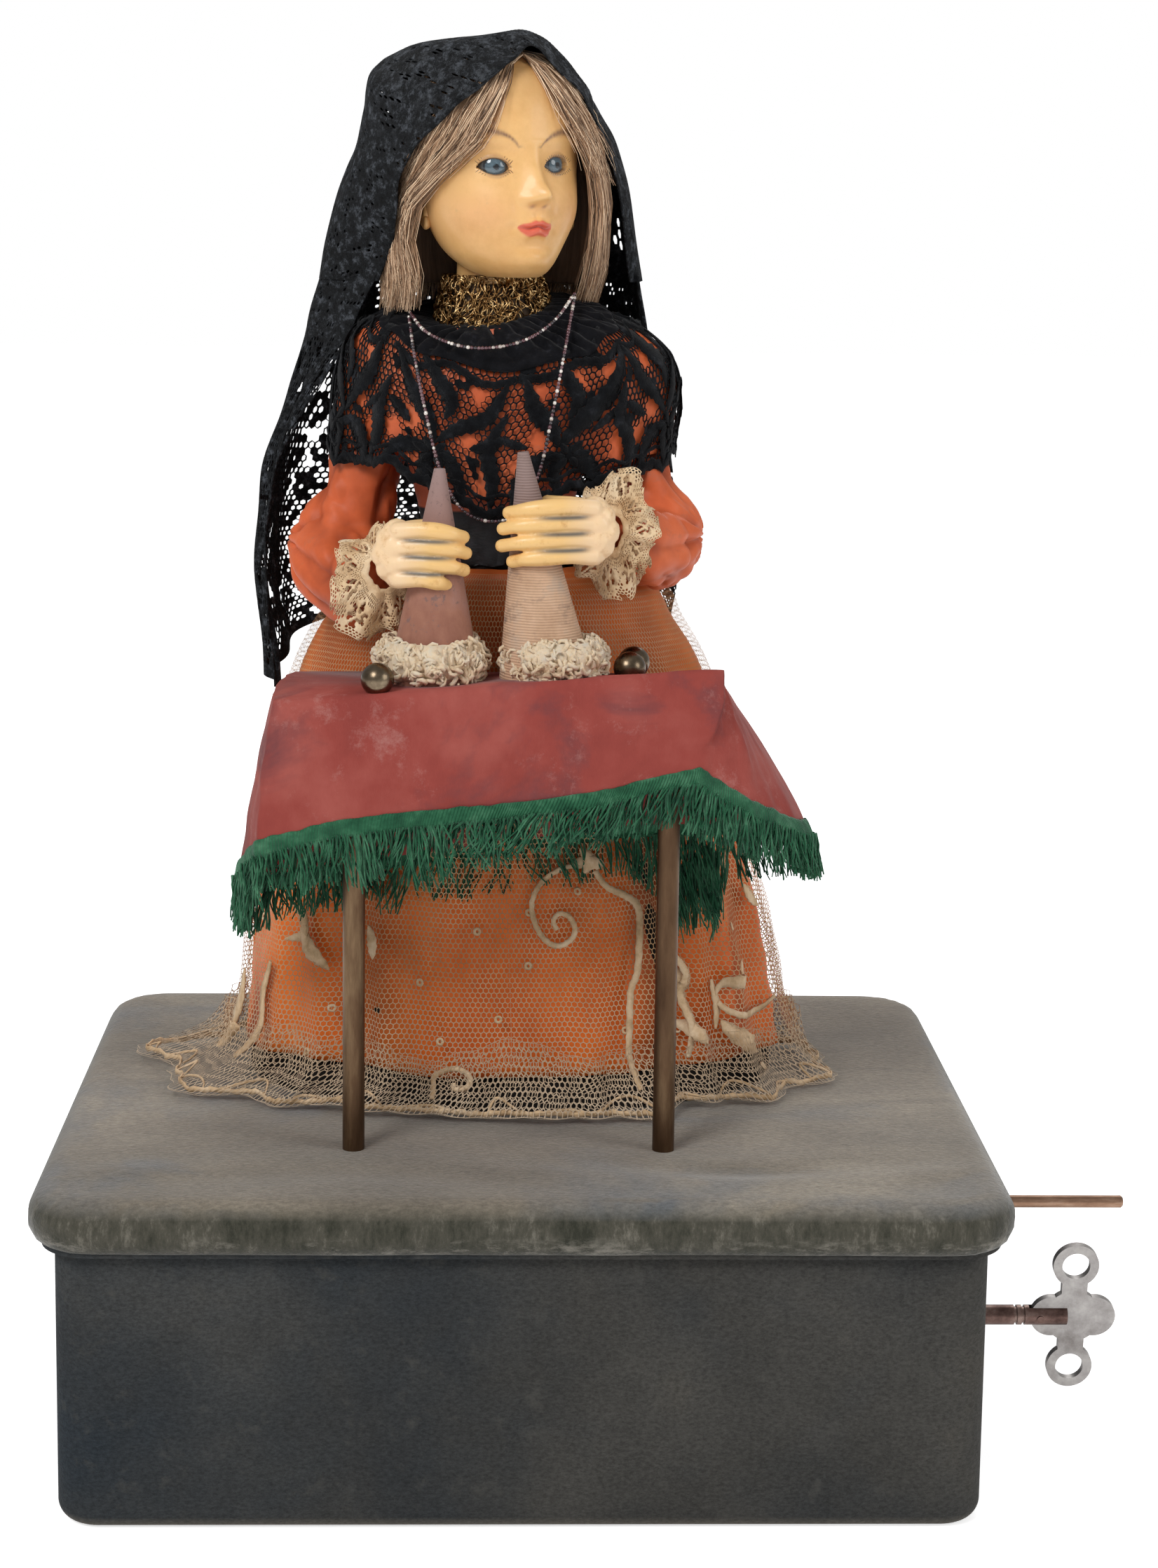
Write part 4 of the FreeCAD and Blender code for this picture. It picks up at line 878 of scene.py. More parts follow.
def tape(bm, place, points, width, out=0.4, steps=10, taper=0.0, loops=0.0):
    """A flat tape sewn along a path of (u, v) points on a surface, narrowing at its ends."""
    middle = surface_line(place, points, out, steps)
    above = surface_line(place, points, out + 1.0, steps)
    for vert in bmesh.ops.create_grid(bm, x_segments=len(middle) - 1, y_segments=2, size=0.5)["verts"]:
        k = round((vert.co.x + 0.5) * (len(middle) - 1))
        side = round(vert.co.y * 2)
        ahead = middle[min(k + 1, len(middle) - 1)] - middle[max(k - 1, 0)]
        normal = (above[k] - middle[k]).normalized()
        cross = ahead.cross(normal).normalized()
        share = k / (len(middle) - 1)
        slim = 1.0 - taper * (abs(2 * share - 1) ** 2)
        edge = side * width * 0.5 * slim * (1 + loops * math.sin(k * 2.1 + side))
        vert.co = middle[k] + cross * edge + normal * (0.00012 if side == 0 else 0.0)


def skirt_place(u, v, out=0.0):
    """The net by shares: u runs once round the skirt from the back, v up from the hem to the waist."""
    return net_at(u * 2 * math.pi - math.pi, v, out)


# The net's tones; painted light makes it paler towards its hem, below the table's shade.
cream_net = clouded("cream_net", 0.85, (30, 5, 0.65),
                    ((0.32, (0.34, 0.19, 0.09)), (0.5, (0.54, 0.34, 0.18)), (0.7, (0.72, 0.51, 0.30))),
                    (((0.55, 0.43, 0.31), band, 0.150, 0.108),), (0.3, 0.0002, 1800, 2, 0.6), sheen=0.05)

net_gap = 0.6
for k, name in enumerate(("net_skirt_back_left", "net_skirt_front_left", "net_skirt_front_right",
                          "net_skirt_back_right")):
    bm = honeycomb(82, 108, 0.00015, lambda u, v: skirt_place((k + u) * 0.25, v, net_gap))
    net = piece_from(bm, name, "stand", cream_net)
    if k == 0:
        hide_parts("net_overskirt")

# A second thickness of net is gathered along the hem.
for name, start in (("net_hem_left", 0.0), ("net_hem_right", 0.5)):
    def hem_place(u, v):
        """The gathered strip by shares: round its half of the hem, and up from the lid."""
        around = start + u * 0.5
        rise = 0.5 + 0.5 * wobble(around * 22, 3, 1)
        gather = 1.7 * math.sin(around * 330 + 2 * math.sin(around * 40)) * (0.3 + 0.7 * v)
        return skirt_place(around, 0.004 + v * (0.075 + 0.10 * rise), 2.2 + gather + 1.2 * v)

    bm = honeycomb(190, 9, 0.00018, hem_place)
    hem_net = piece_from(bm, name, "stand", cream_net)

trim_cream = clouded("trim_cream", 0.85, (120, 5, 0.7),
                     ((0.3, (0.42, 0.27, 0.14)), (0.5, (0.68, 0.48, 0.29)), (0.7, (0.84, 0.66, 0.46))),
                     relief=(0.4, 0.0003, 1600, 2, 0.6), sheen=0.1)
# Each trim is a path of (share of the way round, share of the height) with its width in metres and how
# much it tapers.
scroll = ((0.300, 0.47), (0.285, 0.463), (0.272, 0.44), (0.265, 0.403), (0.266, 0.363), (0.272, 0.33),
          (0.280, 0.32), (0.288, 0.333), (0.290, 0.353), (0.287, 0.373), (0.281, 0.38), (0.277, 0.367),
          (0.279, 0.35))
vine = ((0.305, 0.46), (0.311, 0.43), (0.323, 0.41), (0.331, 0.39), (0.331, 0.35), (0.326, 0.267),
        (0.320, 0.227), (0.317, 0.15), (0.316, 0.103), (0.318, 0.05))
hem_scroll = ((0.213, 0.03), (0.209, 0.067), (0.213, 0.083), (0.221, 0.09), (0.228, 0.077), (0.228, 0.057),
              (0.222, 0.05), (0.220, 0.062))
trims = [(scroll, 0.0017, 0.2), (vine, 0.0024, 0.3), (hem_scroll, 0.0018, 0.2),
         (((0.298, 0.50), (0.303, 0.48), (0.299, 0.455)), 0.0040, 0.9),
         (((0.292, 0.47), (0.302, 0.475), (0.312, 0.47)), 0.0045, 0.9),
         (((0.103, 0.363), (0.113, 0.345), (0.122, 0.315)), 0.0046, 1.0),
         (((0.110, 0.325), (0.126, 0.293), (0.138, 0.255)), 0.0060, 1.0),
         (((0.100, 0.30), (0.112, 0.31), (0.120, 0.335)), 0.0030, 1.0),
         (((0.162, 0.343), (0.167, 0.317), (0.169, 0.285)), 0.0034, 1.0),
         (((0.357, 0.285), (0.362, 0.25), (0.358, 0.21), (0.361, 0.15), (0.356, 0.09)), 0.0034, 0.5),
         (((0.350, 0.26), (0.361, 0.235), (0.352, 0.205)), 0.0050, 1.0),
         (((0.352, 0.16), (0.362, 0.14), (0.368, 0.115)), 0.0048, 1.0),
         (((0.380, 0.203), (0.388, 0.228), (0.412, 0.222), (0.422, 0.252)), 0.0042, 1.0),
         (((0.381, 0.19), (0.389, 0.168), (0.412, 0.152), (0.434, 0.150), (0.446, 0.173)), 0.0022, 0.2),
         (((0.381, 0.155), (0.391, 0.118), (0.417, 0.073)), 0.0062, 1.0),
         (((0.378, 0.235), (0.380, 0.19), (0.377, 0.14)), 0.0030, 0.8),
         (((0.436, 0.395), (0.439, 0.372), (0.443, 0.350)), 0.0044, 1.0),
         (((0.045, 0.10), (0.055, 0.16), (0.050, 0.22)), 0.0060, 1.0),
         (((0.030, 0.05), (0.042, 0.09), (0.060, 0.11)), 0.0060, 1.0),
         (((0.075, 0.06), (0.082, 0.12), (0.078, 0.19), (0.086, 0.25)), 0.0034, 0.6)]
# Gathers just above the hem, where the net is caught up in soft loops.
for k in range(30):
    start, top, end = k + 0.3 * math.sin(k * 2), 0.028 + 0.012 * math.sin(k * 3), k + 0.75
    trims.append((((start / 30, 0.010), ((k + 0.35) / 30, top), (end / 30, 0.012)), 0.0009, 0.6))
dots = ((0.294, 0.42), (0.261, 0.283), (0.211, 0.14), (0.263, 0.383), (0.315, 0.157), (0.354, 0.143),
        (0.416, 0.047), (0.243, 0.183), (0.198, 0.247), (0.232, 0.347), (0.141, 0.183), (0.129, 0.097),
        (0.18, 0.42), (0.40, 0.33), (0.07, 0.33))
bm = bmesh.new()
for path, width, taper in trims:
    tape(bm, skirt_place, path, width, 1.3, 8, taper, 0.14)
for u, v in dots:
    ring = [(u + 0.0017 * math.cos(a), v + 0.0056 * math.sin(a)) for a in (0, 1.26, 2.51, 3.77, 5.03, 6.28)]
    tape(bm, skirt_place, ring, 0.0007, 1.1, 3)
edging = [(k / 140, 0.006 + 0.006 * abs(math.sin(k * 1.03))) for k in range(141)]
tape(bm, skirt_place, edging, 0.0017, 1.0, 3, 0.0, 0.4)
piece_from(bm, "net_trim", "stand", trim_cream, 0.0005)

under_cloth = clouded("under_cloth", 0.95, (60, 4, 0.6),
                      ((0.3, (0.010, 0.009, 0.009)), (0.7, (0.030, 0.026, 0.024))))
repaint(under_cloth, "lower_body_form", "torso_form")

# ---- Bodice and sleeves: the same satin, padded; each sleeve is one piece from the shoulder to the cuff ----
# The satin hangs loose from under the cape, knots at the outer elbow and sags under the forearm.


def stuffed(bm, fineness, middle, radius):
    """Add a ball of stuffing: its middle and its radius in millimetres."""
    spot = Matrix.Translation(middle * 0.001)
    bmesh.ops.create_icosphere(bm, subdivisions=fineness, radius=radius * 0.001, matrix=spot)


def through(points, share):
    """A point on a smooth open line through points, by share of their count."""
    spans = len(points) - 1
    place = min(max(share, 0.0), 0.99999) * spans
    k = int(place)
    t = place - k
    a, b = points[k], points[k + 1]
    before = points[k - 1] if k > 0 else a * 2 - b
    after = points[k + 2] if k + 2 <= spans else b * 2 - a
    return eased(t, a, b, b - before, after - a)


def softened(nodes, name, mat, voxel, shift, sections=(), rounds=6):
    """A padded piece from its solid, or swept through sections: evened out, smoothed, then creased."""
    bm = bmesh.new()
    if not sections:
        bm.from_mesh(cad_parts[nodes[0]].data)
    for step in range(60 if sections else 0):
        middle = through([Vector(place) for place, girth in sections], step / 59)
        girth = through([Vector((girth, 0, 0)) for place, girth in sections], step / 59).x
        stuffed(bm, 4, middle, girth)
    made = mesh_placed(name, bm)
    done = evened(made, voxel, 0.6, rounds)
    moved = [vert.co + vert.normal * shift(vert.co) for vert in done.vertices]
    for vert, place in zip(done.vertices, moved):
        vert.co = place
    done.materials.clear()
    done.materials.append(mat)
    rounded(done)
    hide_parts(*nodes)
    return made


def bodice_shift(co):
    """Shallow upright ridges of the bodice's satin, with narrow valleys between them."""
    valley = abs(wobble(co.x * 90, co.y * 60, co.z * 18 + 3.0)) ** 0.5
    return 0.0006 * (1 - 2 * valley * 1.4) - 0.0004


def pinched(x, y, z):
    """Full folds with narrow valleys between them: 0 in a valley, 1 on a fold."""
    return min(1.0, abs(wobble(x, y, z)) * 2.3)


# The sleeves' satin, with painted shade laid over it from a value kept on the mesh: dark in the folds'
# valleys and under the cape.
sleeve_satin = clouded("sleeve_satin", 0.5, (34, 5, 0.6),
                       ((0.3, (0.44, 0.078, 0.026)), (0.5, (0.66, 0.130, 0.042)),
                        (0.72, (0.80, 0.19, 0.075))),
                       (((0.40, 0.15, 0.09), patches, (80, 6, 0.75), 0.58, 0.72, 0.6),
                        ((0.20, 0.035, 0.014), stored, "hollow", "Fac")),
                       (0.2, 0.0002, 1100, 2, 0.6, (1, 1, 0.3)), Specular_IOR_Level=0.25)

sash_satin, tree, shader = finish("sash_satin", 0.6, sheen=0.04)
tone = mottled(tree, (34, 5, 0.6), (0.3, (0.42, 0.095, 0.045)), (0.6, (0.62, 0.155, 0.075)))
black = mottled(tree, (200, 4, 0.6), (0.4, (0.004, 0.004, 0.005)), (0.7, (0.02, 0.02, 0.024)))
covered(tree, shader, blended(tree, band(tree, 0.2985, 0.2978), tone, black),
        (0.4, 0.0004, 500, 3, 0.6, (1, 1, 3)))
repaint(sash_satin, "elbow_link_left", "elbow_link_right")
bodice_satin = softened(["bodice"], "satin_bodice", sash_satin, 0.0017, bodice_shift)
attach(bodice_satin, "stand")
elbows = {"left": Vector((-55.5, -8, 287)), "right": Vector((37, -8, 289))}
wrists = {"left": Vector((-46, -50, 288)), "right": Vector((25.5, -50, 295.5))}

# Each sleeve from the shoulder to the cuff: the middle of its section and its radius, in millimetres.
sleeve_sections = {"left": (((-33, -4, 343), 9.0), ((-42, -5, 330), 11.5), ((-49.5, -6, 314), 12.0),
                            ((-54, -7, 300), 12.0), ((-59.5, -9, 285), 15.0), ((-58, -18, 279.5), 14.2),
                            ((-54, -29, 276), 12.0), ((-51.5, -37, 277), 9.6), ((-49.5, -42, 280.5), 6.6)),
                   "right": (((11, -4, 343), 9.0), ((20, -5, 331), 11.5), ((30, -6, 315), 12.2),
                             ((36, -8, 302), 13.0), ((40.5, -10, 290), 15.0), ((38.5, -20, 287), 13.6),
                             ((34, -31, 288), 11.5), ((30.5, -38, 291), 9.2), ((28.3, -43, 293.5), 6.4))}


sleeve_depth, sleeve_sink = 0.0050, 0.0030


def sleeve_folds(co, elbow, seed):
    """Folds down the hanging part, fanning out from the bend of the elbow: 0 in a valley, 1 on a fold."""
    away = co * 1000 - elbow
    round_bend = math.atan2(away.z, -away.y)
    hanging = clamp((away.z - 4) / 14)
    down_folds = pinched(co.x * 75 + seed, co.y * 75, co.z * 16)
    fan = pinched(round_bend * 1.7 + seed, co.x * 22, seed * 2)
    loose = pinched(co.x * 34, co.y * 40, co.z * 46 + seed)
    fine = pinched(co.x * 118 + co.z * 46, co.y * 96, co.z * 62 - seed)
    at_bend = 0.5 * fan + 0.25 * loose + 0.25 * fine
    return hanging * (0.75 * down_folds + 0.25 * fine) + (1 - hanging) * at_bend


for side, seed in (("left", 2.0), ("right", 8.0)):
    solids = ["upper_sleeve_" + side, "forearm_sleeve_" + side]

    def sleeve_shift(co):
        """How far the folds stand out of the sleeve's plain shape, in metres."""
        return sleeve_depth * sleeve_folds(co, elbows[side], seed) - sleeve_sink

    def sleeve_painted_shade(co):
        """How much painted shade the sleeve gets at a place: dark in its valleys and under the cape."""
        depth = (sleeve_shift(co) + sleeve_sink) / sleeve_depth
        return 0.85 * max(0.0, 1 - depth * 1.7) + 0.35 * clamp((co.z - 0.300) / 0.02)

    sleeve = softened(solids, "satin_sleeve_" + side, sleeve_satin, 0.0008, sleeve_shift,
                      sleeve_sections[side], 5)
    painted_shade_on(sleeve, sleeve_painted_shade)
    bend, ahead = elbows[side] * 0.001, (wrists[side] - elbows[side]).normalized()
    heading = (ahead - Vector((0, 0, 1))).normalized() * 0.013
    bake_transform(sleeve)

# ---- Black sash and lace cape: cotton lace over a satin yoke, leaves joined by long open cells ----
# The cape ends in a point over the waist and in scallops over the arms.
cape_rows = ((296, -62, 43, -35, 21), (304, -63, 44, -35, 21), (320, -63, 46, -34, 21),
             (335, -62, 48, -32, 21), (345, -60, 46, -29, 20), (352, -57, 40, -26, 19),
             (357, -51.5, 32, -23, 17), (360.5, -43, 21, -20, 15), (362, -33, 11, -18, 14))
# Lower edge of the cape by angle round the body in degrees, in millimetres of height.
cape_edge = ((-180, 316), (-150, 313.5), (-128, 314), (-112, 306), (-92, 298), (-72, 305), (-50, 309),
             (-20, 313), (20, 318), (60, 322), (90, 324), (130, 322), (180, 316))
neckline = ((-180, 361.8), (-160, 361.0), (-138, 356), (-118, 349), (-92, 344.5), (-64, 349), (-44, 356),
            (-20, 361.0), (0, 361.8), (90, 361.8), (180, 361.8))


def by_angle(stops, degrees):
    """A value read off a list of (angle, value) stops round the body."""
    degrees = (degrees + 180) % 360 - 180
    for (a, low_value), (b, high_value) in zip(stops, stops[1:]):
        if a <= degrees <= b:
            t = (degrees - a) / (b - a)
            return low_value + (high_value - low_value) * (t * t * (3 - 2 * t))
    return stops[-1][1]


def cape_at(turn, climb, out=0.0):
    """A place on the cape at an angle, from 0 at its scalloped edge to 1 at the neck."""
    bottom = by_angle(cape_edge, math.degrees(turn)) - 1.6 * abs(math.sin(turn * 11)) * (1 - climb) ** 3
    z = bottom + (by_angle(neckline, math.degrees(turn)) - bottom) * climb
    ripple = 1.3 * wobble(math.cos(turn) * 5, math.sin(turn) * 5, z * 0.05) + 0.9 * math.sin(turn * 13)
    wave = ripple * (1 - climb)
    return oval_place(cape_rows, turn, z, wave + out)


def cape_place(u, v, out=0.0):
    """The cape by shares: u runs once round from the back, v up from the edge to the neck."""
    return cape_at(u * 2 * math.pi - math.pi, v, out)


black_lace = clouded("black_lace", 0.95, (160, 5, 0.7),
                     ((0.38, (0.003, 0.003, 0.004)), (0.58, (0.009, 0.010, 0.012)),
                      (0.78, (0.040, 0.043, 0.052))),
                     relief=(0.9, 0.0007, 1300, 4, 0.8), sheen=0.08)

# The lace repeats round the cape: wide pointed leaves in a V, an upright one between, a flower and
# torn-open windows.
cape_repeats = 8
cape_tapes = ((((0.50, 0.34), (0.38, 0.50), (0.20, 0.66), (0.05, 0.90)), 7.0, 1.0),
              (((0.50, 0.34), (0.62, 0.50), (0.80, 0.66), (0.95, 0.90)), 7.0, 1.0),
              (((0.00, 0.06), (0.04, 0.24), (-0.03, 0.44), (0.01, 0.68)), 6.4, 1.0),
              (((0.50, 0.30), (0.36, 0.26), (0.24, 0.16), (0.16, 0.00)), 7.0, 1.0),
              (((0.50, 0.30), (0.64, 0.26), (0.76, 0.16), (0.84, 0.00)), 7.0, 1.0),
              (((0.50, 0.28), (0.48, 0.16), (0.51, 0.00)), 6.0, 1.0),
              (((0.30, 0.96), (0.40, 0.80), (0.52, 0.66), (0.50, 0.52)), 6.5, 1.0),
              (((0.00, 0.90), (0.25, 0.86), (0.50, 0.92), (0.75, 0.86), (1.0, 0.90)), 3.0, 0.0),
              (((0.04, 0.52), (0.14, 0.46), (0.26, 0.40)), 4.0, 1.0),
              (((0.96, 0.52), (0.86, 0.46), (0.74, 0.40)), 4.0, 1.0))
cape_windows = ((0.27, 0.44, 0.09, 0.08), (0.74, 0.48, 0.08, 0.09), (0.50, 0.80, 0.10, 0.07),
                (0.90, 0.24, 0.06, 0.12), (0.36, 0.12, 0.05, 0.06), (0.14, 0.30, 0.07, 0.08),
                (0.22, 0.76, 0.07, 0.06), (0.80, 0.78, 0.06, 0.07))


def cape_filled(u, v):
    """Solid at the lower edge and the neck, and torn wide in the windows of each repeat."""
    if v < 0.05 or v > 0.96:
        return True
    spot = (u * cape_repeats) % 1.0
    for x, y, wide, tall in cape_windows:
        if ((spot - x) / wide) ** 2 + ((v - y) / tall) ** 2 < 1.0:
            return None
    return wobble(u * 60, v * 9, 3) > 0.42


bm = grid(200, 40)
for vert in bm.verts:
    climb = vert.co.y + 0.5
    vert.co = cape_place(vert.co.x + 0.5, 0.10 + 0.85 * climb, -1.3)
weld(bm)
satin_yoke = piece_from(bm, "satin_yoke", "stand", sleeve_satin, 0.0005)

def cape_cell(u, v):
    """The cells of the cape pulled out of true, as worn cotton is."""
    drift = noise.noise_vector(Vector((u * 120, v * 26, 2)))
    return cape_place(u + drift.x * 0.0016, v + drift.y * 0.012, 0.2)


bm = honeycomb(160, 23, 0.00023, cape_cell, cape_filled, close=True)
cape_mesh = piece_from(bm, "lace_cape_net", "stand", black_lace, 0.0004)
bm = bmesh.new()
for k in range(cape_repeats):
    for points, width, taper in cape_tapes:
        shift = [((k + x + 0.09 * math.sin(k * 5 + y * 4)) / cape_repeats, y) for x, y in points]
        wide = width * (0.85 + 0.25 * math.sin(k * 3 + width)) * 0.001
        tape(bm, cape_place, shift, wide, 0.5, 9, taper, 0.20)
    for petal in range(6):
        lean = petal * math.pi / 3 + k
        x, y = (k + 0.50) / cape_repeats, 0.27
        ends = [(x + math.cos(lean) * reach / 285, y + math.sin(lean) * reach / 60)
                for reach in (1.2, 3.4, 6.2)]
        tape(bm, cape_place, ends, 0.0026, 0.8, 6, 0.9)
edge_turns = [(k / 96, 0.035 + 0.02 * math.sin(k * 1.9)) for k in range(97)]
tape(bm, cape_place, edge_turns, 0.0030, 0.8, 3, 0.0, 0.35)
tape(bm, cape_place, [(u, v + 0.10) for u, v in edge_turns], 0.0012, 0.7, 3, 0.0, 0.3)
piece_from(bm, "lace_cape_leaves", "stand", black_lace, 0.0003)
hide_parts("lace_cape")

# ---- Mantilla: a dense, dusty black lace shawl pinned over the hair; its hood turns with the head ----
# Its long end hangs behind the left arm in open flowered mesh.

# Four arches of the hood from its front edge to the middle of its back, each from the left, over the top,
# to the right.
hood_arches = (
    ((-47.5, -8, 369), (-42.5, -14, 383), (-41.5, -17.5, 397), (-37, -23, 409.5), (-25, -29.5, 421),
     (-14.5, -31, 430),
     (-6.5, -27.5, 437), (0, -20.5, 441.5), (8.5, -15.5, 435), (17.5, -9, 424.5), (25.5, -2, 406),
     (32.5, 10, 369)),
    ((-66, 5, 369), (-61.2, 2, 391), (-54.5, 0, 408), (-51.6, -1, 423), (-49.5, 0, 434.5), (-41, 0, 440.5),
     (-24, 0, 443.5), (-8, 1, 445.5), (4, 3, 440.5), (18.5, 8, 426), (28.5, 12, 404), (36, 15, 369)),
    ((-59, 32, 369), (-56, 31, 391), (-51, 28, 408), (-47, 25, 422), (-43, 24, 431), (-34, 22, 436),
     (-22, 22, 440), (-8, 22, 441), (5, 22, 437), (18, 26, 424), (27, 30, 406), (32, 32, 369)),
    ((-12, 43, 369), (-12, 43, 391), (-12, 42, 408), (-12, 40, 420), (-12, 39, 427), (-12, 37, 432),
     (-12, 35.5, 434.5), (-12, 37, 432), (-12, 39, 427), (-12, 41, 416), (-12, 42.5, 400), (-12, 43, 369)))
# Rows of the fall from the neck down, each from its left front edge, round the back, to its right front edge.
fall_rows = (
    ((-48, -8, 371), (-65.5, 5, 371), (-60.5, 26, 371), (-38, 39, 371), (-12, 43, 371), (12, 40, 371),
     (33, 29, 371), (35, 10, 371)),
    ((-60, -3, 345), (-72, 8, 345), (-67, 28, 345), (-40, 42, 345), (-12, 45, 345), (14, 42, 345),
     (33, 30, 344), (40, 14, 343)),
    ((-80, 8, 308), (-84, 16, 308), (-77, 32, 306), (-42, 44, 306), (-12, 46, 306), (16, 45, 306),
     (40, 34, 306), (47, 20, 307)),
    ((-83, 9, 276), (-87, 17, 276), (-78, 32, 276), (-42, 44, 282), (-12, 46, 286), (16, 45, 286),
     (40, 34, 278), (49, 22, 276)),
    ((-80, 10, 236), (-83, 17, 240), (-73, 30, 252), (-42, 43, 266), (-12, 45, 272), (16, 44, 270),
     (38, 34, 262), (47, 24, 258)))
hood_lines = [[Vector(p) for p in arch] for arch in hood_arches]
fall_lines = [[Vector(p) for p in row] for row in fall_rows]


def hood_at(u, w):
    """The hood by shares: u from its left edge over the top to the right, w from the face to the back."""
    place = through([through(line, u) for line in hood_lines], w)
    swell = wobble(u * 9, w * 4, 2) * 1.6 + wobble(u * 22, w * 10, 6) * 0.6
    away = (place - Vector((-12, 4, 404))).normalized()
    swell += 2.8 * max(0.0, 1 - abs(w - 0.17) / 0.17) * clamp((place.z - 416) / 12)
    return (place + away * (swell * clamp((place.z - 369) / 14))) * 0.001


def fall_at(u, v):
    """The fall by shares: u from its left front edge round the back, v down from the neck."""
    place = through([through(line, u) for line in fall_lines], v)
    away = Vector((place.x + 12, place.y, 0)).normalized()
    fold = 1.8 * math.sin(u * 44 + v * 2) * (0.3 + 0.7 * v) + wobble(u * 12, v * 6, 3) * 1.6
    return (place + away * (fold * min(1.0, v / 0.16))) * 0.001


def pale_top_patches(tree):
    """A mask of pale grey-blue patches over the top of the hood."""
    return product(tree, band(tree, 0.405, 0.447), patches(tree, (230, 6, 0.85), 0.50, 0.66, 0.75))


mantilla_black = clouded("mantilla_black", 0.95, (330, 5, 0.8),
                         ((0.36, (0.002, 0.002, 0.003)), (0.52, (0.014, 0.016, 0.019)),
                          (0.66, (0.14, 0.155, 0.18))),
                         (((0.22, 0.24, 0.27), pale_top_patches),), (1.0, 0.0026, 420, 6, 0.85), sheen=0.05)


def hood_filled(u, w):
    """Dense lace with thin open lines and pinholes."""
    lines = abs(math.sin(u * 63 + w * 9)) < 0.13 and wobble(u * 30, w * 30, 1) > -0.05
    pins = wobble(u * 46, w * 22, 5) > 0.40
    return not (lines or pins)


def fall_filled(u, v):
    """Dense at the shoulders, then open mesh with flowers down to a solid hem."""
    open_part = v > 0.22 + 0.10 * wobble(u * 7, 1, 2) if u < 0.40 else v > 0.50
    if open_part:
        row = math.floor(v * 12)
        x, y = ((u * 24 + 0.5 * (row % 2)) % 1 - 0.5) * 12.5, ((v * 12) % 1 - 0.5) * 11
        bloom, petal = math.hypot(x, y), 4.3 + 1.3 * math.cos(5 * math.atan2(y, x) + row)
        if v > 0.965:
            return True
        if bloom > 5.0 and wobble(u * 30, v * 20, 5) > 0.15:
            return None
        return 2.0 < bloom < petal or bloom < 0.9 or wobble(u * 60, v * 50, 7) > 0.34
    slits = abs(math.sin(u * 46 + v * 7)) < 0.10 and wobble(u * 30, v * 50, 3) > 0.05
    pins = wobble(u * 52, v * 46, 9) > 0.36
    return not (slits or pins)


bm = honeycomb(118, 46, 0.0004, hood_at, hood_filled)
weld(bm, 0.00008, [v for v in bm.verts if v.is_boundary])
hood = piece_from(bm, "mantilla_hood", "head", mantilla_black, 0.0006)
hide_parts("veil_hood")
bm = honeycomb(110, 70, 0.00027, fall_at, fall_filled)
fall_piece = piece_from(bm, "mantilla_fall", "", mantilla_black, 0.0006)
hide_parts("veil_fall")
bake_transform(fall_piece)

# ---- Doll's head: carton covered in gesso and painted flesh, varnished yellow, with blue glass eyes ----
# The head is turned towards its left. Shapes are made facing the front, in millimetres, then turned.
head_turn = math.radians(23)
neck_axis = Vector((-11, 0, 0))
skull_rows = ((370.2, -17, -5, -22.5, -8), (372.7, -23, 0, -27, 4), (378.5, -30, 5, -30.0, 12),
              (387, -34.5, 9.6, -30.8, 18), (396, -36.5, 11.8, -30.8, 22), (408, -37, 13, -30.4, 25),
              (420, -36.5, 13, -29.6, 25), (431, -32, 9, -25.5, 21), (438, -25, 3, -18, 14),
              (441, -17, -5, -9, 6))
eye_height, eye_apart, eye_middle, mouth_height = 405.0, 10.4, -1.5, 386.4


def head_turned(place):
    """Turn a point given in millimetres, facing the front, to the head's place; gives metres."""
    x, y = place.x - neck_axis.x, place.y
    c, s = math.cos(head_turn), math.sin(head_turn)
    return Vector((neck_axis.x + x * c - y * s, x * s + y * c, place.z)) * 0.001


def bump_at(x, z, cx, cz, wide, tall, power=2.0):
    """A smooth bump of height 1 on the face: its middle, its width and height, and how blunt it is."""
    return math.exp(-(abs((x - cx) / wide) ** power + abs((z - cz) / tall) ** power))


def eyelid(x, z):
    """How far inside the almond of an eye opening a place is: 1 at its middle, 0 at its lids."""
    best = -9.0
    for side in (-1, 1):
        dx = (x - eye_middle - side * eye_apart) / 4.9
        if abs(dx) >= 1.0:
            continue
        upper = 2.9 * (1 - abs(dx) ** 2.2) ** 0.8
        lower = 2.3 * (1 - abs(dx) ** 2.0)
        dz = z - eye_height - 0.4 * side - 0.2 * dx * side
        best = max(best, 1 - dz / max(upper, 0.01) if dz > 0 else 1 + dz / max(lower, 0.01))
    return best


def mouth_line(x):
    """The height where the closed lips meet, across the mouth."""
    return mouth_height + 0.35 * math.cos(x * 1.1) - 0.012 * x * x + 0.25


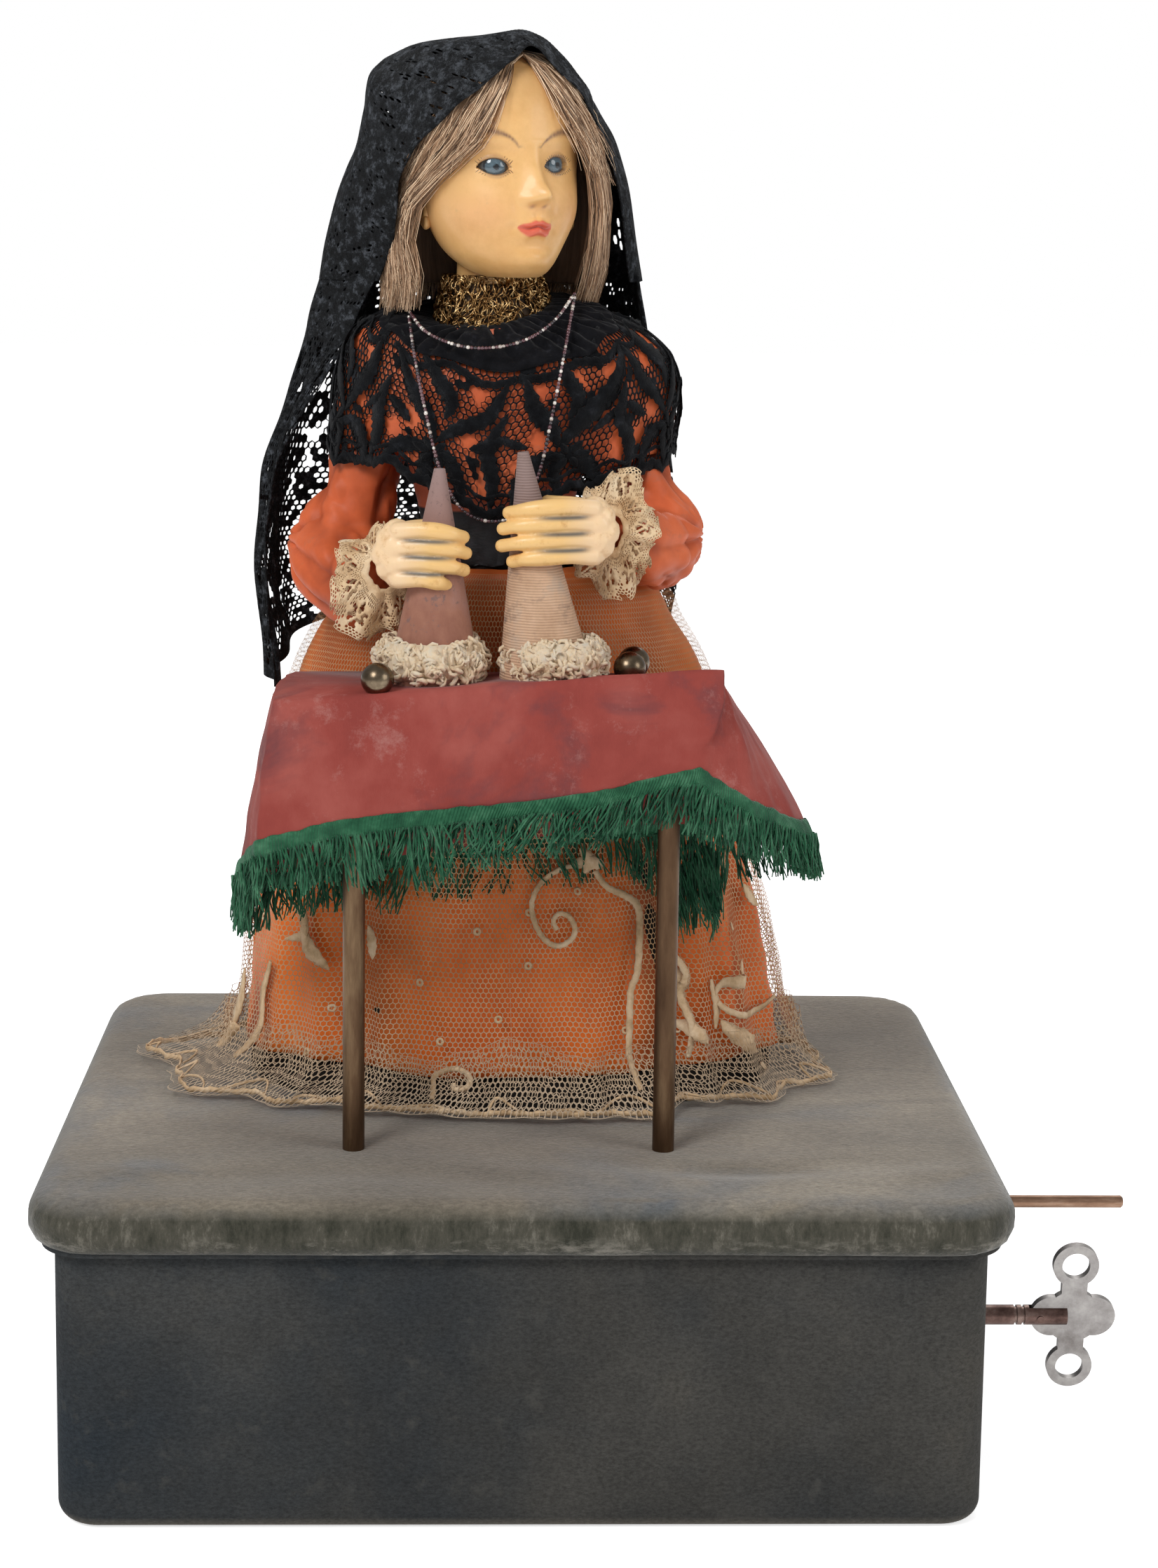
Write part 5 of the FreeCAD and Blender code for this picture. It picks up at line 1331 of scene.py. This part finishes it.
def face_relief(x, z):
    """How far the painted face stands out from the plain oval, in millimetres."""
    rise = 0.0
    for side in (-1, 1):
        rise -= 2.5 * bump_at(x, z, side * 9.6 + eye_middle, 405.5, 8.0, 5.4)
        rise += 1.5 * bump_at(x, z, side * eye_apart + eye_middle, 405.0 + 0.4 * side, 6.4, 4.2, 2.6)
        rise += 0.7 * bump_at(x, z, side * 10.5 + eye_middle, 413.0, 8.0, 2.2)
        rise += 1.5 * bump_at(x, z, side * 14.5, 391.5, 9.0, 8.0)
        rise += 1.2 * bump_at(x, z, side * 3.7, 395.0, 2.1, 1.9)
        rise -= 0.5 * bump_at(x, z, side * 6.2, 393.0, 1.6, 3.4)
        rise -= 0.6 * bump_at(x, z, side * 7.0, mouth_height, 1.6, 1.8)
        rise -= 1.0 * bump_at(x, z, side * 24.0, 380.0, 8.0, 9.0)
    bridge = 1 / (1 + math.exp(-(z - 394.2) * 1.5)) * clamp((413 - z) / 15.0) ** 0.9
    rise += 3.9 * bridge * bell(x, 3.1)
    rise += 2.6 * bump_at(x, z, 0, 396.6, 3.1, 3.0)
    rise += 0.8 * bump_at(x, z, 0, 388.5, 7.5, 5.0)
    rise -= 0.35 * bump_at(x, z, 0, 390.2, 1.0, 1.6)
    upper_lip = mouth_line(x) + 1.3
    lower_lip = mouth_line(x) - 1.7
    lip_width = max(0.0, 1 - (x / 5.6) ** 2)
    rise += 1.5 * bell(z - upper_lip + 0.35 * bell(x, 0.9), 1.15) * lip_width
    rise += 1.8 * bell(z - lower_lip, 1.45) * max(0.0, 1 - (x / 4.9) ** 2)
    rise -= 0.9 * bell(z - mouth_line(x), 0.42) * max(0.0, 1 - (x / 6.0) ** 2)
    rise -= 0.8 * bump_at(x, z, 0, 380.6, 5.5, 1.8)
    rise += 2.0 * bump_at(x, z, 0, 376.2, 6.8, 4.0)
    return rise


painted_skin, tree, shader = finish("painted_skin", 0.42, coat=0.15, Subsurface_Weight=0.06)
mottle = mottled(tree, (55, 6, 0.7), (0.33, (0.78, 0.68, 0.52)), (0.6, (1.0, 1.0, 1.0)))
tone = blended(tree, 0.65, stored(tree, "paint"), mottle, "MULTIPLY")
tone = blended(tree, patches(tree, (210, 5, 0.75), 0.62, 0.76, 0.35), tone, (0.56, 0.36, 0.17))
covered(tree, shader, tone, (0.12, 0.0003, 260, 4, 0.6))

skin_colour = Vector((0.92, 0.535, 0.21))
cheek_colour = Vector((0.86, 0.43, 0.20))
lip_colour = Vector((0.80, 0.13, 0.085))
brow_colour = Vector((0.17, 0.085, 0.07))
lid_colour = Vector((0.13, 0.06, 0.035))
bm = grid(230, 200)
paint = bm.verts.layers.float_color.new("paint")
for vert in bm.verts:
    s, climb = vert.co.x * 2, vert.co.y + 0.5
    turn = math.radians(-90 + 180 * (0.5 * s + 0.5 * s ** 3))
    z = 371.0 + 70.0 * climb
    spot = oval_place(skull_rows, turn, z, 0.0) * 1000
    x = spot.x - neck_axis.x
    shaded = max(0.0, (abs(x + 1.5) - 17.0) / 9.0) + max(0.0, (z - 419.0) / 16.0)
    shaded += max(0.0, (375.5 - z) / 5.0)
    colour = skin_colour.lerp(Vector((0.52, 0.28, 0.11)), min(0.75, 0.55 * shaded))
    if spot.y < 0:
        facing = min(1.0, -spot.y / 12)
        rise = face_relief(x, z) * facing
        open_eye = eyelid(x, z)
        if open_eye > -0.6:
            inside = clamp(open_eye * 3.4)
            rise -= 3.6 * inside * inside * (3 - 2 * inside)
            rim = bell(open_eye + 0.14, 0.16)
            rise += 0.45 * rim
            colour = colour.lerp(lid_colour, min(1.0, 0.95 * bell(open_eye - 0.08, 0.15)))
            colour = colour.lerp(Vector((0.46, 0.26, 0.13)), 0.5 * bell(open_eye + 0.2, 0.3))
        spot += Vector((math.cos(turn) * 0.55 + (0.30 if rise > 0 else 0.1), math.sin(turn), 0.0)) * rise
        for side in (-1, 1):
            colour = colour.lerp(cheek_colour, 0.5 * bump_at(x, z, side * 15, 391, 7.5, 6.5))
            outward = side * (x - eye_middle)
            climbing = 1 - math.exp(-max(0.0, outward - 3.6) / 3.6)
            arch = 411.0 + 5.2 * climbing - 0.03 * max(0.0, outward - 11) ** 2
            ink = bell(z - arch, 0.36 + 0.085 * max(0.0, outward - 3))
            reach = 1 / (1 + math.exp(-(outward - 3.2) * 2.4)) / (1 + math.exp((outward - 17.0) * 1.6))
            hatch = 0.8 + 0.35 * wobble(x * 2.2, z * 0.8, 4)
            colour = colour.lerp(brow_colour, min(1.0, 0.95 * ink * reach * hatch))
        lips = max(0.0, 1 - (x / 5.9) ** 2)
        top = mouth_line(x) + 2.5 * lips ** 0.6 - 0.7 * bell(x, 0.9)
        foot = mouth_line(x) - 3.1 * lips ** 0.6
        in_lips = clamp((top - z) * 2) * clamp((z - foot) * 2) * (1 if lips > 0 else 0)
        colour = colour.lerp(lip_colour, in_lips * 0.92)
        colour = colour.lerp(Vector((0.30, 0.07, 0.05)), 0.7 * bell(z - mouth_line(x), 0.28) * lips)
        for side in (-1, 1):
            colour = colour.lerp(Vector((0.42, 0.20, 0.12)), 0.75
                                 * bump_at(x, z, side * 2.0, 393.0, 0.9, 0.7))
    vert[paint] = (*colour, 1)
    vert.co = head_turned(spot)
weld(bm, 0.00004, [v for v in bm.verts if v.is_boundary])
for crown in (min, max):
    level = crown(v.co.z for v in bm.verts)
    ends = [e for e in bm.edges if e.is_boundary and abs(e.verts[0].co.z - level) < 1e-5]
    bmesh.ops.contextual_create(bm, geom=ends)
for side in (-1, 1):
    for place, size in (((side * 24.6 + 0.5, 0.5, 391.5), (1.7, 3.6, 5.6)),
                        ((side * 25.3 + 0.5, -1.4, 387.6), (1.5, 2.0, 2.4))):
        spot = Matrix.Translation(Vector(place)) @ Matrix.Diagonal((*size, 1))
        ear = bmesh.ops.create_uvsphere(bm, u_segments=32, v_segments=20, radius=1.0, matrix=spot)["verts"]
        for vert in ear:
            # Each ear's hollow is pressed in and painted darker: painted shade.
            off_middle = math.hypot((vert.co.y - place[1]) / 1.9, (vert.co.z - place[2]) / 3.0)
            hollow = 1.1 * bell(off_middle, 1.0)
            vert[paint] = (*skin_colour.lerp(Vector((0.45, 0.24, 0.10)), 0.7 * hollow), 1)
            vert.co = head_turned(Vector((vert.co.x + neck_axis.x - side * hollow, vert.co.y, vert.co.z)))
neck = bmesh.ops.create_cone(bm, cap_ends=True, segments=64, radius1=0.0124, radius2=0.0118, depth=0.024,
                             matrix=Matrix.Translation((-0.011, 0, 0.3712)))["verts"]
for vert in neck:
    vert[paint] = (*(skin_colour * 0.9), 1)
bmesh.ops.recalc_face_normals(bm, faces=bm.faces)
doll_head = piece_from(bm, "doll_head", "head", painted_skin)
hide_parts("head")

# ---- Glass eyes: blue-grey blown glass with a dark ring round the iris, set behind the painted lids ----
# Both look the way the face is turned.
eye_glass, tree, shader = finish("eye_glass", 0.08, coat=0.6)
covered(tree, shader, stored(tree, "iris"))
bm = bmesh.new()
iris = bm.verts.layers.float_color.new("iris")
for side in (-1, 1):
    centre = Vector((neck_axis.x + eye_middle + side * 8.6, -21.7, eye_height + 0.2 + 0.4 * side))
    for vert in bmesh.ops.create_uvsphere(bm, u_segments=96, v_segments=64, radius=5.6)["verts"]:
        place = vert.co.copy()
        away = math.hypot(place.x - 1.7 * side - 0.4, place.z)
        speck_tone = wobble(math.atan2(place.z, place.x) * 9, away, side)
        if place.y > 0:
            colour = (0.62, 0.60, 0.55)
        elif away < 0.95:
            colour = (0.012, 0.014, 0.018)
        elif away < 3.0:
            pale = 0.8 + 0.35 * speck_tone
            colour = (0.115 * pale, 0.175 * pale, 0.215 * pale)
        elif away < 3.5:
            colour = (0.02, 0.026, 0.032)
        else:
            colour = (0.075, 0.085, 0.09)
        vert[iris] = (*colour, 1)
        vert.co = head_turned(centre + place)
eyes_made = piece_from(bm, "glass_eyes", "head", eye_glass)
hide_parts("eyes")

lash_paint = clouded("lash_paint", 0.6, (400, 2, 0.5), ((0.4, (0.05, 0.028, 0.024)),
                                                        (0.6, (0.12, 0.07, 0.055))))
random.seed(33)
lashes = []
for side in (-1, 1):
    for lid in (1, -1):
        for k in range(15):
            dx = -0.86 + 1.72 * k / 14
            x = eye_middle + side * eye_apart + dx * 5.1
            edge = 2.7 * (1 - abs(dx) ** 2.2) ** 0.8 if lid > 0 else -2.2 * (1 - abs(dx) ** 2.0)
            z = eye_height + 0.4 * side + edge
            reach = random.uniform(0.5, 1.0) if lid > 0 else random.uniform(0.4, 0.8)
            line = []
            for t in (0.0, 0.5, 1.0):
                px, pz = x + dx * 0.9 * t, z + lid * (0.25 + reach * t)
                turn = -math.pi / 2 + math.asin(max(-1, min(1, px / 26)))
                py = oval_place(skull_rows, turn, pz, 0).y * 1000 - face_relief(px, pz) - 0.35
                line.append((head_turned(Vector((neck_axis.x + px, py, pz))), 1.0 - 0.6 * t))
            lashes.append(line)
strands("painted_lashes", lashes, 0.00011, "head", lash_paint)

# ---- Wig: parted mohair in pinkish straw, with painted shade brown in its depth, swept back and cut at the shoulders ----
# Long locks start along the parting, cross the temples and hang to the collar.
mohair, tree, shader = finish("mohair", 0.42)
covered(tree, shader, stored(tree, "lock_tone_and_shade"))
wig_rows = ((362, -42, 20, -16, 24), (374, -42, 23, -22, 27), (390, -41, 24, -28.5, 29.5),
            (404, -40.5, 22.5, -31, 30), (420, -40, 17.5, -30.5, 29.5), (431, -35, 11, -26.5, 25),
            (437.5, -28, 5, -20.5, 18), (441, -20, -2, -14.5, 10), (442.4, -12.4, -9.6, -11, 6))
# How far round from the face a lock lies at each height, in degrees: the nearest locks and those by the ear.
near_left = ((362, 66), (370, 66), (378, 80), (388, 88), (396, 78), (404, 56), (412, 38), (420, 28),
             (430, 17), (438, 9), (445, 3))
near_right = ((362, 52), (378, 50), (388, 48), (396, 47), (404, 43), (412, 36), (420, 28), (430, 18),
              (438, 9), (445, 3))
far_side = ((362, 112), (378, 112), (396, 108), (412, 98), (425, 84), (436, 66), (445, 40))


def at_height(stops, z):
    """A value read off a list of (height, value) stops."""
    z = min(max(z, stops[0][0]), stops[-1][0])
    for (a, low_value), (b, high_value) in zip(stops, stops[1:]):
        if z <= b:
            return low_value + (high_value - low_value) * (z - a) / (b - a)
    return stops[-1][1]


lock_steps = 10
wig_top = 442.0


def lock_line(k, side):
    """One lock from the parting to its cut end: its line, how near the surface it lies and its group."""
    layer = random.random()
    front = random.random() < 0.70
    fringe = front and random.random() < 0.09
    fan = random.random() ** (1.35 if front else 1.0)
    start_y = -21 + 9 * fan if front else -14 + 20 * fan
    group = round(fan * 11) + side * 20 + (0 if front else 50)
    drift = wobble(group * 1.7, layer * 1.5, 3.0)
    last = 364 + 5 * wobble(group * 2.3, 1, 1) + random.uniform(-6, 5) - 1.5 * side
    if fringe:
        last = random.uniform(399, 412)
    wild = random.random() < 0.10
    stray = random.gauss(0, 2.6)
    wave = random.uniform(0.5, 1.5)
    line = []
    for step in range(lock_steps):
        t = step / (lock_steps - 1)
        z = wig_top - (wig_top - last) * t ** 1.2
        near = at_height(near_left if side < 0 else near_right, z)
        far = at_height(far_side, z)
        angle = near + (far - near) * fan if front else far + (178 - far) * fan
        angle += drift * (3 + 10 * t) + wave * math.sin(t * 9 + group) * t + stray * min(1.0, t * 1.6)
        angle += random.uniform(-6, 6) * t if wild else 0.0
        angle -= 9 * t * t if fringe else 0.0
        flare = (2.2 + 2.6 * layer) * max(0.0, t - 0.55) ** 1.5 * (2.1 if front else 1.0)
        out = -2.0 + 2.6 * layer + flare * 1.6 + 1.4 * math.sin(t * math.pi) * layer
        spot = oval_place(wig_rows, math.radians(-90 + side * angle), z, out) * 1000
        if t < 0.10:
            root = Vector((neck_axis.x + side * 0.3, start_y, 442.2 - 0.011 * (start_y + 4) ** 2))
            spot = root.lerp(spot, t / 0.10)
        curl = 0.5 + (3.2 if wild else 1.6) * t
        spot += Vector((wobble(k, t * 4, 1), wobble(k, t * 4, 2), 0)) * curl
        line.append((head_turned(spot), 1.0 - 0.7 * t ** 3))
    return line, layer, group


random.seed(77)
deep, mid, pale = Vector((0.070, 0.036, 0.018)), Vector((0.46, 0.265, 0.145)), Vector((1.0, 0.74, 0.50))
for side, name in ((-1, "mohair_wig_left"), (1, "mohair_wig_right")):
    made = [lock_line(k, side) for k in range(1800)]
    wig = strands(name, [line for line, layer, group in made], 0.00015, "head", mohair)
    tint = wig.data.attributes.new("lock_tone_and_shade", "FLOAT_COLOR", "POINT")
    per_lock = len(wig.data.vertices) // len(made)
    for index, (line, layer, group) in enumerate(made):
        # Each lock's tone is partly random and partly painted shade and light: the deeper its layer, the
        # browner it is; the outer locks are the palest.
        cloud = wobble(group * 3.1, layer, 7) + random.uniform(-0.5, 0.5)
        level = clamp(layer * 0.75 + cloud * 0.75 + 0.18)
        colour = deep.lerp(mid, level * 2) if level < 0.5 else mid.lerp(pale, level * 2 - 1)
        for n in range(index * per_lock, (index + 1) * per_lock):
            tint.data[n].color = (*colour, 1)

cap_brown = clouded("cap_brown", 0.8, (60, 5, 0.6, (6, 6, 0.5)),
                    ((0.3, (0.10, 0.06, 0.04)), (0.7, (0.27, 0.17, 0.11))),
                    relief=(0.6, 0.0006, 300, 3, 0.6, (5, 5, 0.3)))
bm = grid(120, 60)
for vert in bm.verts:
    spread, climb = vert.co.x + 0.5, vert.co.y + 0.5
    z = 368 + 76 * climb
    right_open, left_open = at_height(near_right, z) + 7, at_height(near_left, z) + 7
    turn = math.radians(-90 + right_open + (360 - right_open - left_open) * spread)
    vert.co = head_turned(oval_place(wig_rows, turn, z, -3.4) * 1000)
wig_cap = piece_from(bm, "wig_cap", "head", cap_brown, 0.0008)
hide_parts("wig")

# ---- Collar and ruche: tangled gold thread round the neck, in a crinkled black ribbon ----
# The threads glint brown and gold; the ribbon stands up in tight gathers.
gold_thread = clouded("gold_thread", 0.30, (420, 4, 0.7),
                      ((0.36, (0.06, 0.027, 0.011)), (0.5, (0.27, 0.15, 0.055)), (0.66, (0.95, 0.68, 0.34))),
                      metal=1.0)


def collar_foot(turn):
    """The height of the collar's foot, which dips towards the front, in millimetres."""
    return 353.5 + 4.0 * math.sin(turn) + 3.0 * math.cos(turn)


def collar_place(turn, radius, rise, top):
    """A place on the collar: rise runs from 0 at its foot to 1 at its top's height."""
    z = collar_foot(turn) + (top - collar_foot(turn)) * rise
    return Vector((-11.5 + radius * math.cos(turn), 0.5 + radius * 0.92 * math.sin(turn), z)) * 0.001


random.seed(55)
gold_lines = []
for k in range(1150):
    turn = random.uniform(0, 2 * math.pi)
    rise = random.random()
    heading = random.uniform(0, 2 * math.pi)
    bend = random.uniform(-1.4, 1.4)
    place = Vector((turn, rise, 0))
    line = []
    for step in range(7):
        radius = 20.4 - 5.0 * place.y + 0.7 * math.sin(step + k) + random.uniform(-0.3, 0.3)
        line.append((collar_place(place.x, radius, place.y, 371.0), 1.0 - 0.3 * (step in (0, 6))))
        heading += bend * 0.35
        place += Vector((math.cos(heading) * 0.055, math.sin(heading) * 0.055, 0))
        place.y = clamp(place.y)
    gold_lines.append(line)
collar = strands("gold_collar_threads", gold_lines, 0.00026, "stand", gold_thread)
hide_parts("gold_collar")

collar_core = clouded("collar_core", 0.7, (300, 3, 0.6), ((0.3, (0.02, 0.011, 0.006)),
                                                          (0.7, (0.08, 0.045, 0.02))),
                      metal=0.3)
bm = grid(90, 10)
for vert in bm.verts:
    turn, rise = vert.co.x * 2 * math.pi, vert.co.y + 0.5
    vert.co = collar_place(turn, 19.4 - 5.0 * rise, rise, 368.6)
weld(bm, 0.00004)
piece_from(bm, "gold_collar_core", "stand", collar_core, 0.0010, -1)

black_ribbon = clouded("black_ribbon", 0.9, (200, 5, 0.7),
                       ((0.35, (0.003, 0.003, 0.004)), (0.6, (0.007, 0.007, 0.009)),
                        (0.75, (0.028, 0.028, 0.034))),
                       relief=(0.5, 0.0004, 1400, 3, 0.7), sheen=0.1)
bm = grid(600, 16)
for vert in bm.verts:
    turn, rise = (vert.co.x + 0.5) * 2 * math.pi - math.pi, vert.co.y + 0.5
    gathers = math.sin(turn * 38 + 3 * math.sin(turn * 6) + rise * 2)
    crinkle = wobble(turn * 14, rise * 5, 2) + 0.5 * gathers
    height = 360.5 + 4.5 * math.sin(turn) + 3.0 * math.cos(turn)
    inner = Vector((-11.5 + 18.4 * math.cos(turn), 0.5 + 17 * math.sin(turn), height))
    outer = cape_at(turn, 0.955, 0.9) * 1000
    place = outer.lerp(inner, rise)
    away = Vector((math.cos(turn), math.sin(turn), 0.55)).normalized()
    swell_out = 1.9 * math.sin(rise * math.pi) ** 0.7 + crinkle * (0.8 + 1.0 * math.sin(rise * math.pi))
    vert.co = (place + away * swell_out) * 0.001
weld(bm, 0.00003, [v for v in bm.verts if abs(v.co.y) < 0.002 and v.co.x < 0])
ruche = piece_from(bm, "crinkled_ruche", "stand", black_ribbon, 0.0006)
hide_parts("neck_ruche")

# ---- Necklaces: two strings of small glass beads, purple, smoke and clear, sewn at the shoulders ----
# The short string lies on the ruche; the long one hangs over the cape to the waist.
bead_glass, tree, shader = finish("bead_glass", 0.12, metal=0.35, coat=0.8)
covered(tree, shader, stored(tree, "glass"))
short_string = ((-38, -12, 360), (-32, -25, 354), (-21, -32.5, 350.2), (-10, -34, 350.2), (0, -31, 353),
                (8, -24, 358.5), (14, -13, 366))
long_string = ((-38, -13, 359), (-35.5, -29, 346), (-32, -35, 330), (-27.5, -38.5, 313), (-21, -39.5, 301),
               (-12, -40, 297), (-3, -40, 300), (3, -39, 312), (7, -36, 330), (10.5, -31, 348),
               (14, -14, 365))
bead_pitch = 1.05
bm = bmesh.new()
glass = bm.verts.layers.float_color.new("glass")
random.seed(8)
bead_colours = ((0.10, 0.035, 0.045), (0.16, 0.08, 0.09), (0.04, 0.03, 0.035), (0.50, 0.44, 0.40),
                (0.80, 0.74, 0.68))
for string in (short_string, long_string):
    fine = [through([Vector(p) for p in string], k / 600) for k in range(601)]
    run = 0.0
    for a, b in zip(fine, fine[1:]):
        run += (b - a).length
        if run < bead_pitch:
            continue
        run = 0.0
        size = random.uniform(0.50, 0.68)
        colour = random.choice(bead_colours[:3] + bead_colours)
        turn = (b - a).to_track_quat("Z", "Y").to_matrix().to_4x4()
        bead = Matrix.Diagonal((size * 0.001, size * 0.001, size * 0.00115, 1))
        place = Matrix.Translation(b * 0.001) @ turn @ bead
        for vert in bmesh.ops.create_uvsphere(bm, u_segments=10, v_segments=7, radius=1.0,
                                              matrix=place)["verts"]:
            vert[glass] = (*colour, 1)
beads = piece_from(bm, "glass_beads", "stand", bead_glass)
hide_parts("bead_strands")

# ---- Lace cuffs: gathered guipure frills in cream thread, soiled at the folds ----
# Each frill is gathered at the wrist and flares back over the sleeve's end, a second one under it.
cream_lace = clouded("cream_lace", 0.85, (90, 5, 0.7),
                     ((0.32, (0.46, 0.27, 0.13)), (0.5, (0.76, 0.55, 0.33)), (0.7, (0.90, 0.74, 0.52))),
                     relief=(0.4, 0.0003, 1500, 2, 0.6), sheen=0.2)
# How much longer each frill is above and below the wrist, in millimetres.
droop = {"left": (-4.0, 7.0), "right": (3.5, 5.0)}
cuff_shift = {"left": (1.5, 0, -5.0), "right": (-1.0, 0, 0.0)}
# The front frill, then the one under it: where its root lies on the forearm and how far it reaches back,
# as shares of the forearm; its radius at the root, how much it widens, and how many ruffles it has.
frill_layers = ((1.04, -0.13, 5.6, 10.4, 5), (0.98, -0.24, 6.6, 7.6, 6))


def guipure(u, v):
    """Rosettes with spokes in open ground, tied by a cord at each edge; the outer edge is scalloped."""
    x, y = ((u * 11) % 1 - 0.5) * 7.6, (v - 0.56) * 12
    away, spoke = math.hypot(x, y), math.cos(6 * math.atan2(y, x))
    if v > 0.86 and abs(x) > 2.9:
        return None
    if away < 2.7 and away > 0.9:
        return True if spoke > 0.45 else None
    return away < 3.4 or v < 0.1 or wobble(u * 70, v * 10, 4) > 0.3


for side, phase in (("left", 0.4), ("right", 2.2)):
    forearm = wrists[side] - elbows[side]
    ahead = forearm.normalized()
    lift = Vector((0, 0, 1)) - ahead * ahead.z
    lift.normalize()
    across = ahead.cross(lift)
    above, below = droop[side]

    def cuff_at(u, v):
        """The frill by shares: u once round the wrist from its top, v from its root to its loose edge."""
        turn = u * 2 * math.pi
        inner = max(0.0, math.sin(turn) * (1 if side == "right" else -1))
        flare = narrow + widen * v ** 0.9 * (1 - 0.4 * inner)
        ruffle = math.sin(turn * ruffles + phase + v * 1.2) * 2.2 + math.sin(turn * 11 + phase * 3) * 0.9
        low = above * max(0.0, math.cos(turn)) ** 2 * v + below * max(0.0, -math.cos(turn + 0.35)) ** 1.5 * v
        radius = flare + ruffle * v ** 0.7 + low + 0.8 * wobble(turn * 3, v * 4, phase)
        slide = 1.6 * math.cos(turn * 9 + phase) * v
        place = elbows[side] + forearm * (root + back * v) + ahead * slide + Vector(cuff_shift[side])
        return (place + lift * (math.cos(turn) * radius) + across * (math.sin(turn) * radius * 0.82)) * 0.001

    for name, (root, back, narrow, widen, ruffles) in zip(("lace_frill_", "lace_frill_back_"), frill_layers):
        bm = honeycomb(104, 16, 0.00019, cuff_at, guipure, close=True)
        frill = piece_from(bm, name + side, side + "_arm", cream_lace, 0.00035)
        if name == "lace_frill_":
            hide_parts("lace_cuff_" + side)

# ---- Hands: cast and painted like the face, four long fingers across the cone and a thumb behind it ----
# The fingers are yellower, with grey paint in the gaps between them.
hand_paint, tree, shader = finish("hand_paint", 0.42, coat=0.15, Subsurface_Weight=0.05)
wear = mottled(tree, (170, 5, 0.7), (0.56, (1, 1, 1)), (0.72, (0.70, 0.56, 0.38)))
tone = blended(tree, 0.8, stored(tree, "paint"), wear, "MULTIPLY")
covered(tree, shader, tone, (0.12, 0.0002, 300, 4, 0.6))
# The palm as balls of flesh about the knuckles: how far inwards, how high, and its radius.
palm = ((-3.0, 6.4, 4.6), (-3.4, 2.2, 5.9), (-3.4, -2.4, 5.9), (-2.6, -6.2, 4.5), (-5.4, 4.4, 4.2),
        (-6.2, 0.0, 4.8), (-5.2, -4.2, 4.3), (0.5, 5.4, 4.0), (0.5, 0.2, 4.4), (0.5, -4.8, 4.0))
for side, inward, grow, finger_reach in (("left", 1, 0.86, (22.0, 23.0, 22.4, 16.5)),
                                         ("right", -1, 1.18, (21.0, 22.5, 22.8, 20.0))):
    wrist = wrists[side]
    knuckle = wrist + Vector((inward * 9.0, -12.5, 1.0))
    blobs = [(wrist + Vector((inward * 2.5, 3, 0)), 4.8), (wrist + Vector((inward * 4, -3, 0)), 5.6)]
    blobs += [(knuckle + Vector((inward * over, 3.4, height)), radius) for over, height, radius in palm]
    gaps = []
    for k in range(4):
        z = knuckle.z + 7.4 - 4.95 * k
        reach = finger_reach[k] * grow
        drop = (-0.6, -0.5, -0.7, -0.5)[k]
        joints_at = [Vector((knuckle.x - inward * 2.5, knuckle.y + 0.6, z * 0.97 + knuckle.z * 0.03)),
                     Vector((knuckle.x + inward * 5.5, knuckle.y - 2.3, z + 0.6)),
                     Vector((knuckle.x + inward * reach * 0.70, knuckle.y - 1.9, z + 0.1 + drop)),
                     Vector((knuckle.x + inward * (reach - 2.0), knuckle.y + 1.3, z - 1.2 + drop))]
        for step in range(30):
            t = step / 29
            radius = 2.82 - 0.85 * t ** 2 + 0.16 * math.cos(t * 12)
            blobs.append((through(joints_at, t), radius * (1.0 if k else 1.03)))
        if k < 3:
            gaps.append(z - 2.47)
    thumb = [wrist + Vector((inward * over, back, height))
             for over, back, height in ((2, 2.0, 5.0), (10, 3.0, 7.5), (20, 3.0, 8.5))]
    for step in range(24):
        blobs.append((through(thumb, step / 23), 2.9 - 0.7 * step / 23))
    bm = bmesh.new()
    for centre, radius in blobs:
        stuffed(bm, 2, centre, radius)
    hand = piece_from(bm, "cast_hand_" + side, side + "_arm", hand_paint)
    done = evened(hand, 0.00042, 0.5, 4)
    rounded(done)
    paint = done.attributes.new("paint", "FLOAT_COLOR", "POINT")
    for vert in done.vertices:
        place = vert.co * 1000
        along_hand = (place.x - knuckle.x) * inward
        colour = Vector((0.95, 0.66, 0.39))
        yellow = clamp((along_hand + 2) / 9)
        colour = colour.lerp(Vector((0.93, 0.57, 0.22)), yellow)
        for level in gaps:
            near = bell(place.z - level + 0.02 * along_hand, 0.75)
            inside = 1 / (1 + math.exp(-(along_hand + 1.0) * 1.2)) / (1 + math.exp((along_hand - 13.5) * 0.7))
            front = 1 if place.y < knuckle.y - 0.5 else 0.5
            colour = colour.lerp(Vector((0.13, 0.125, 0.11)), min(1.0, near * inside * front))
        paint.data[vert.index].color = (*colour, 1)
    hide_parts("hand_" + side)
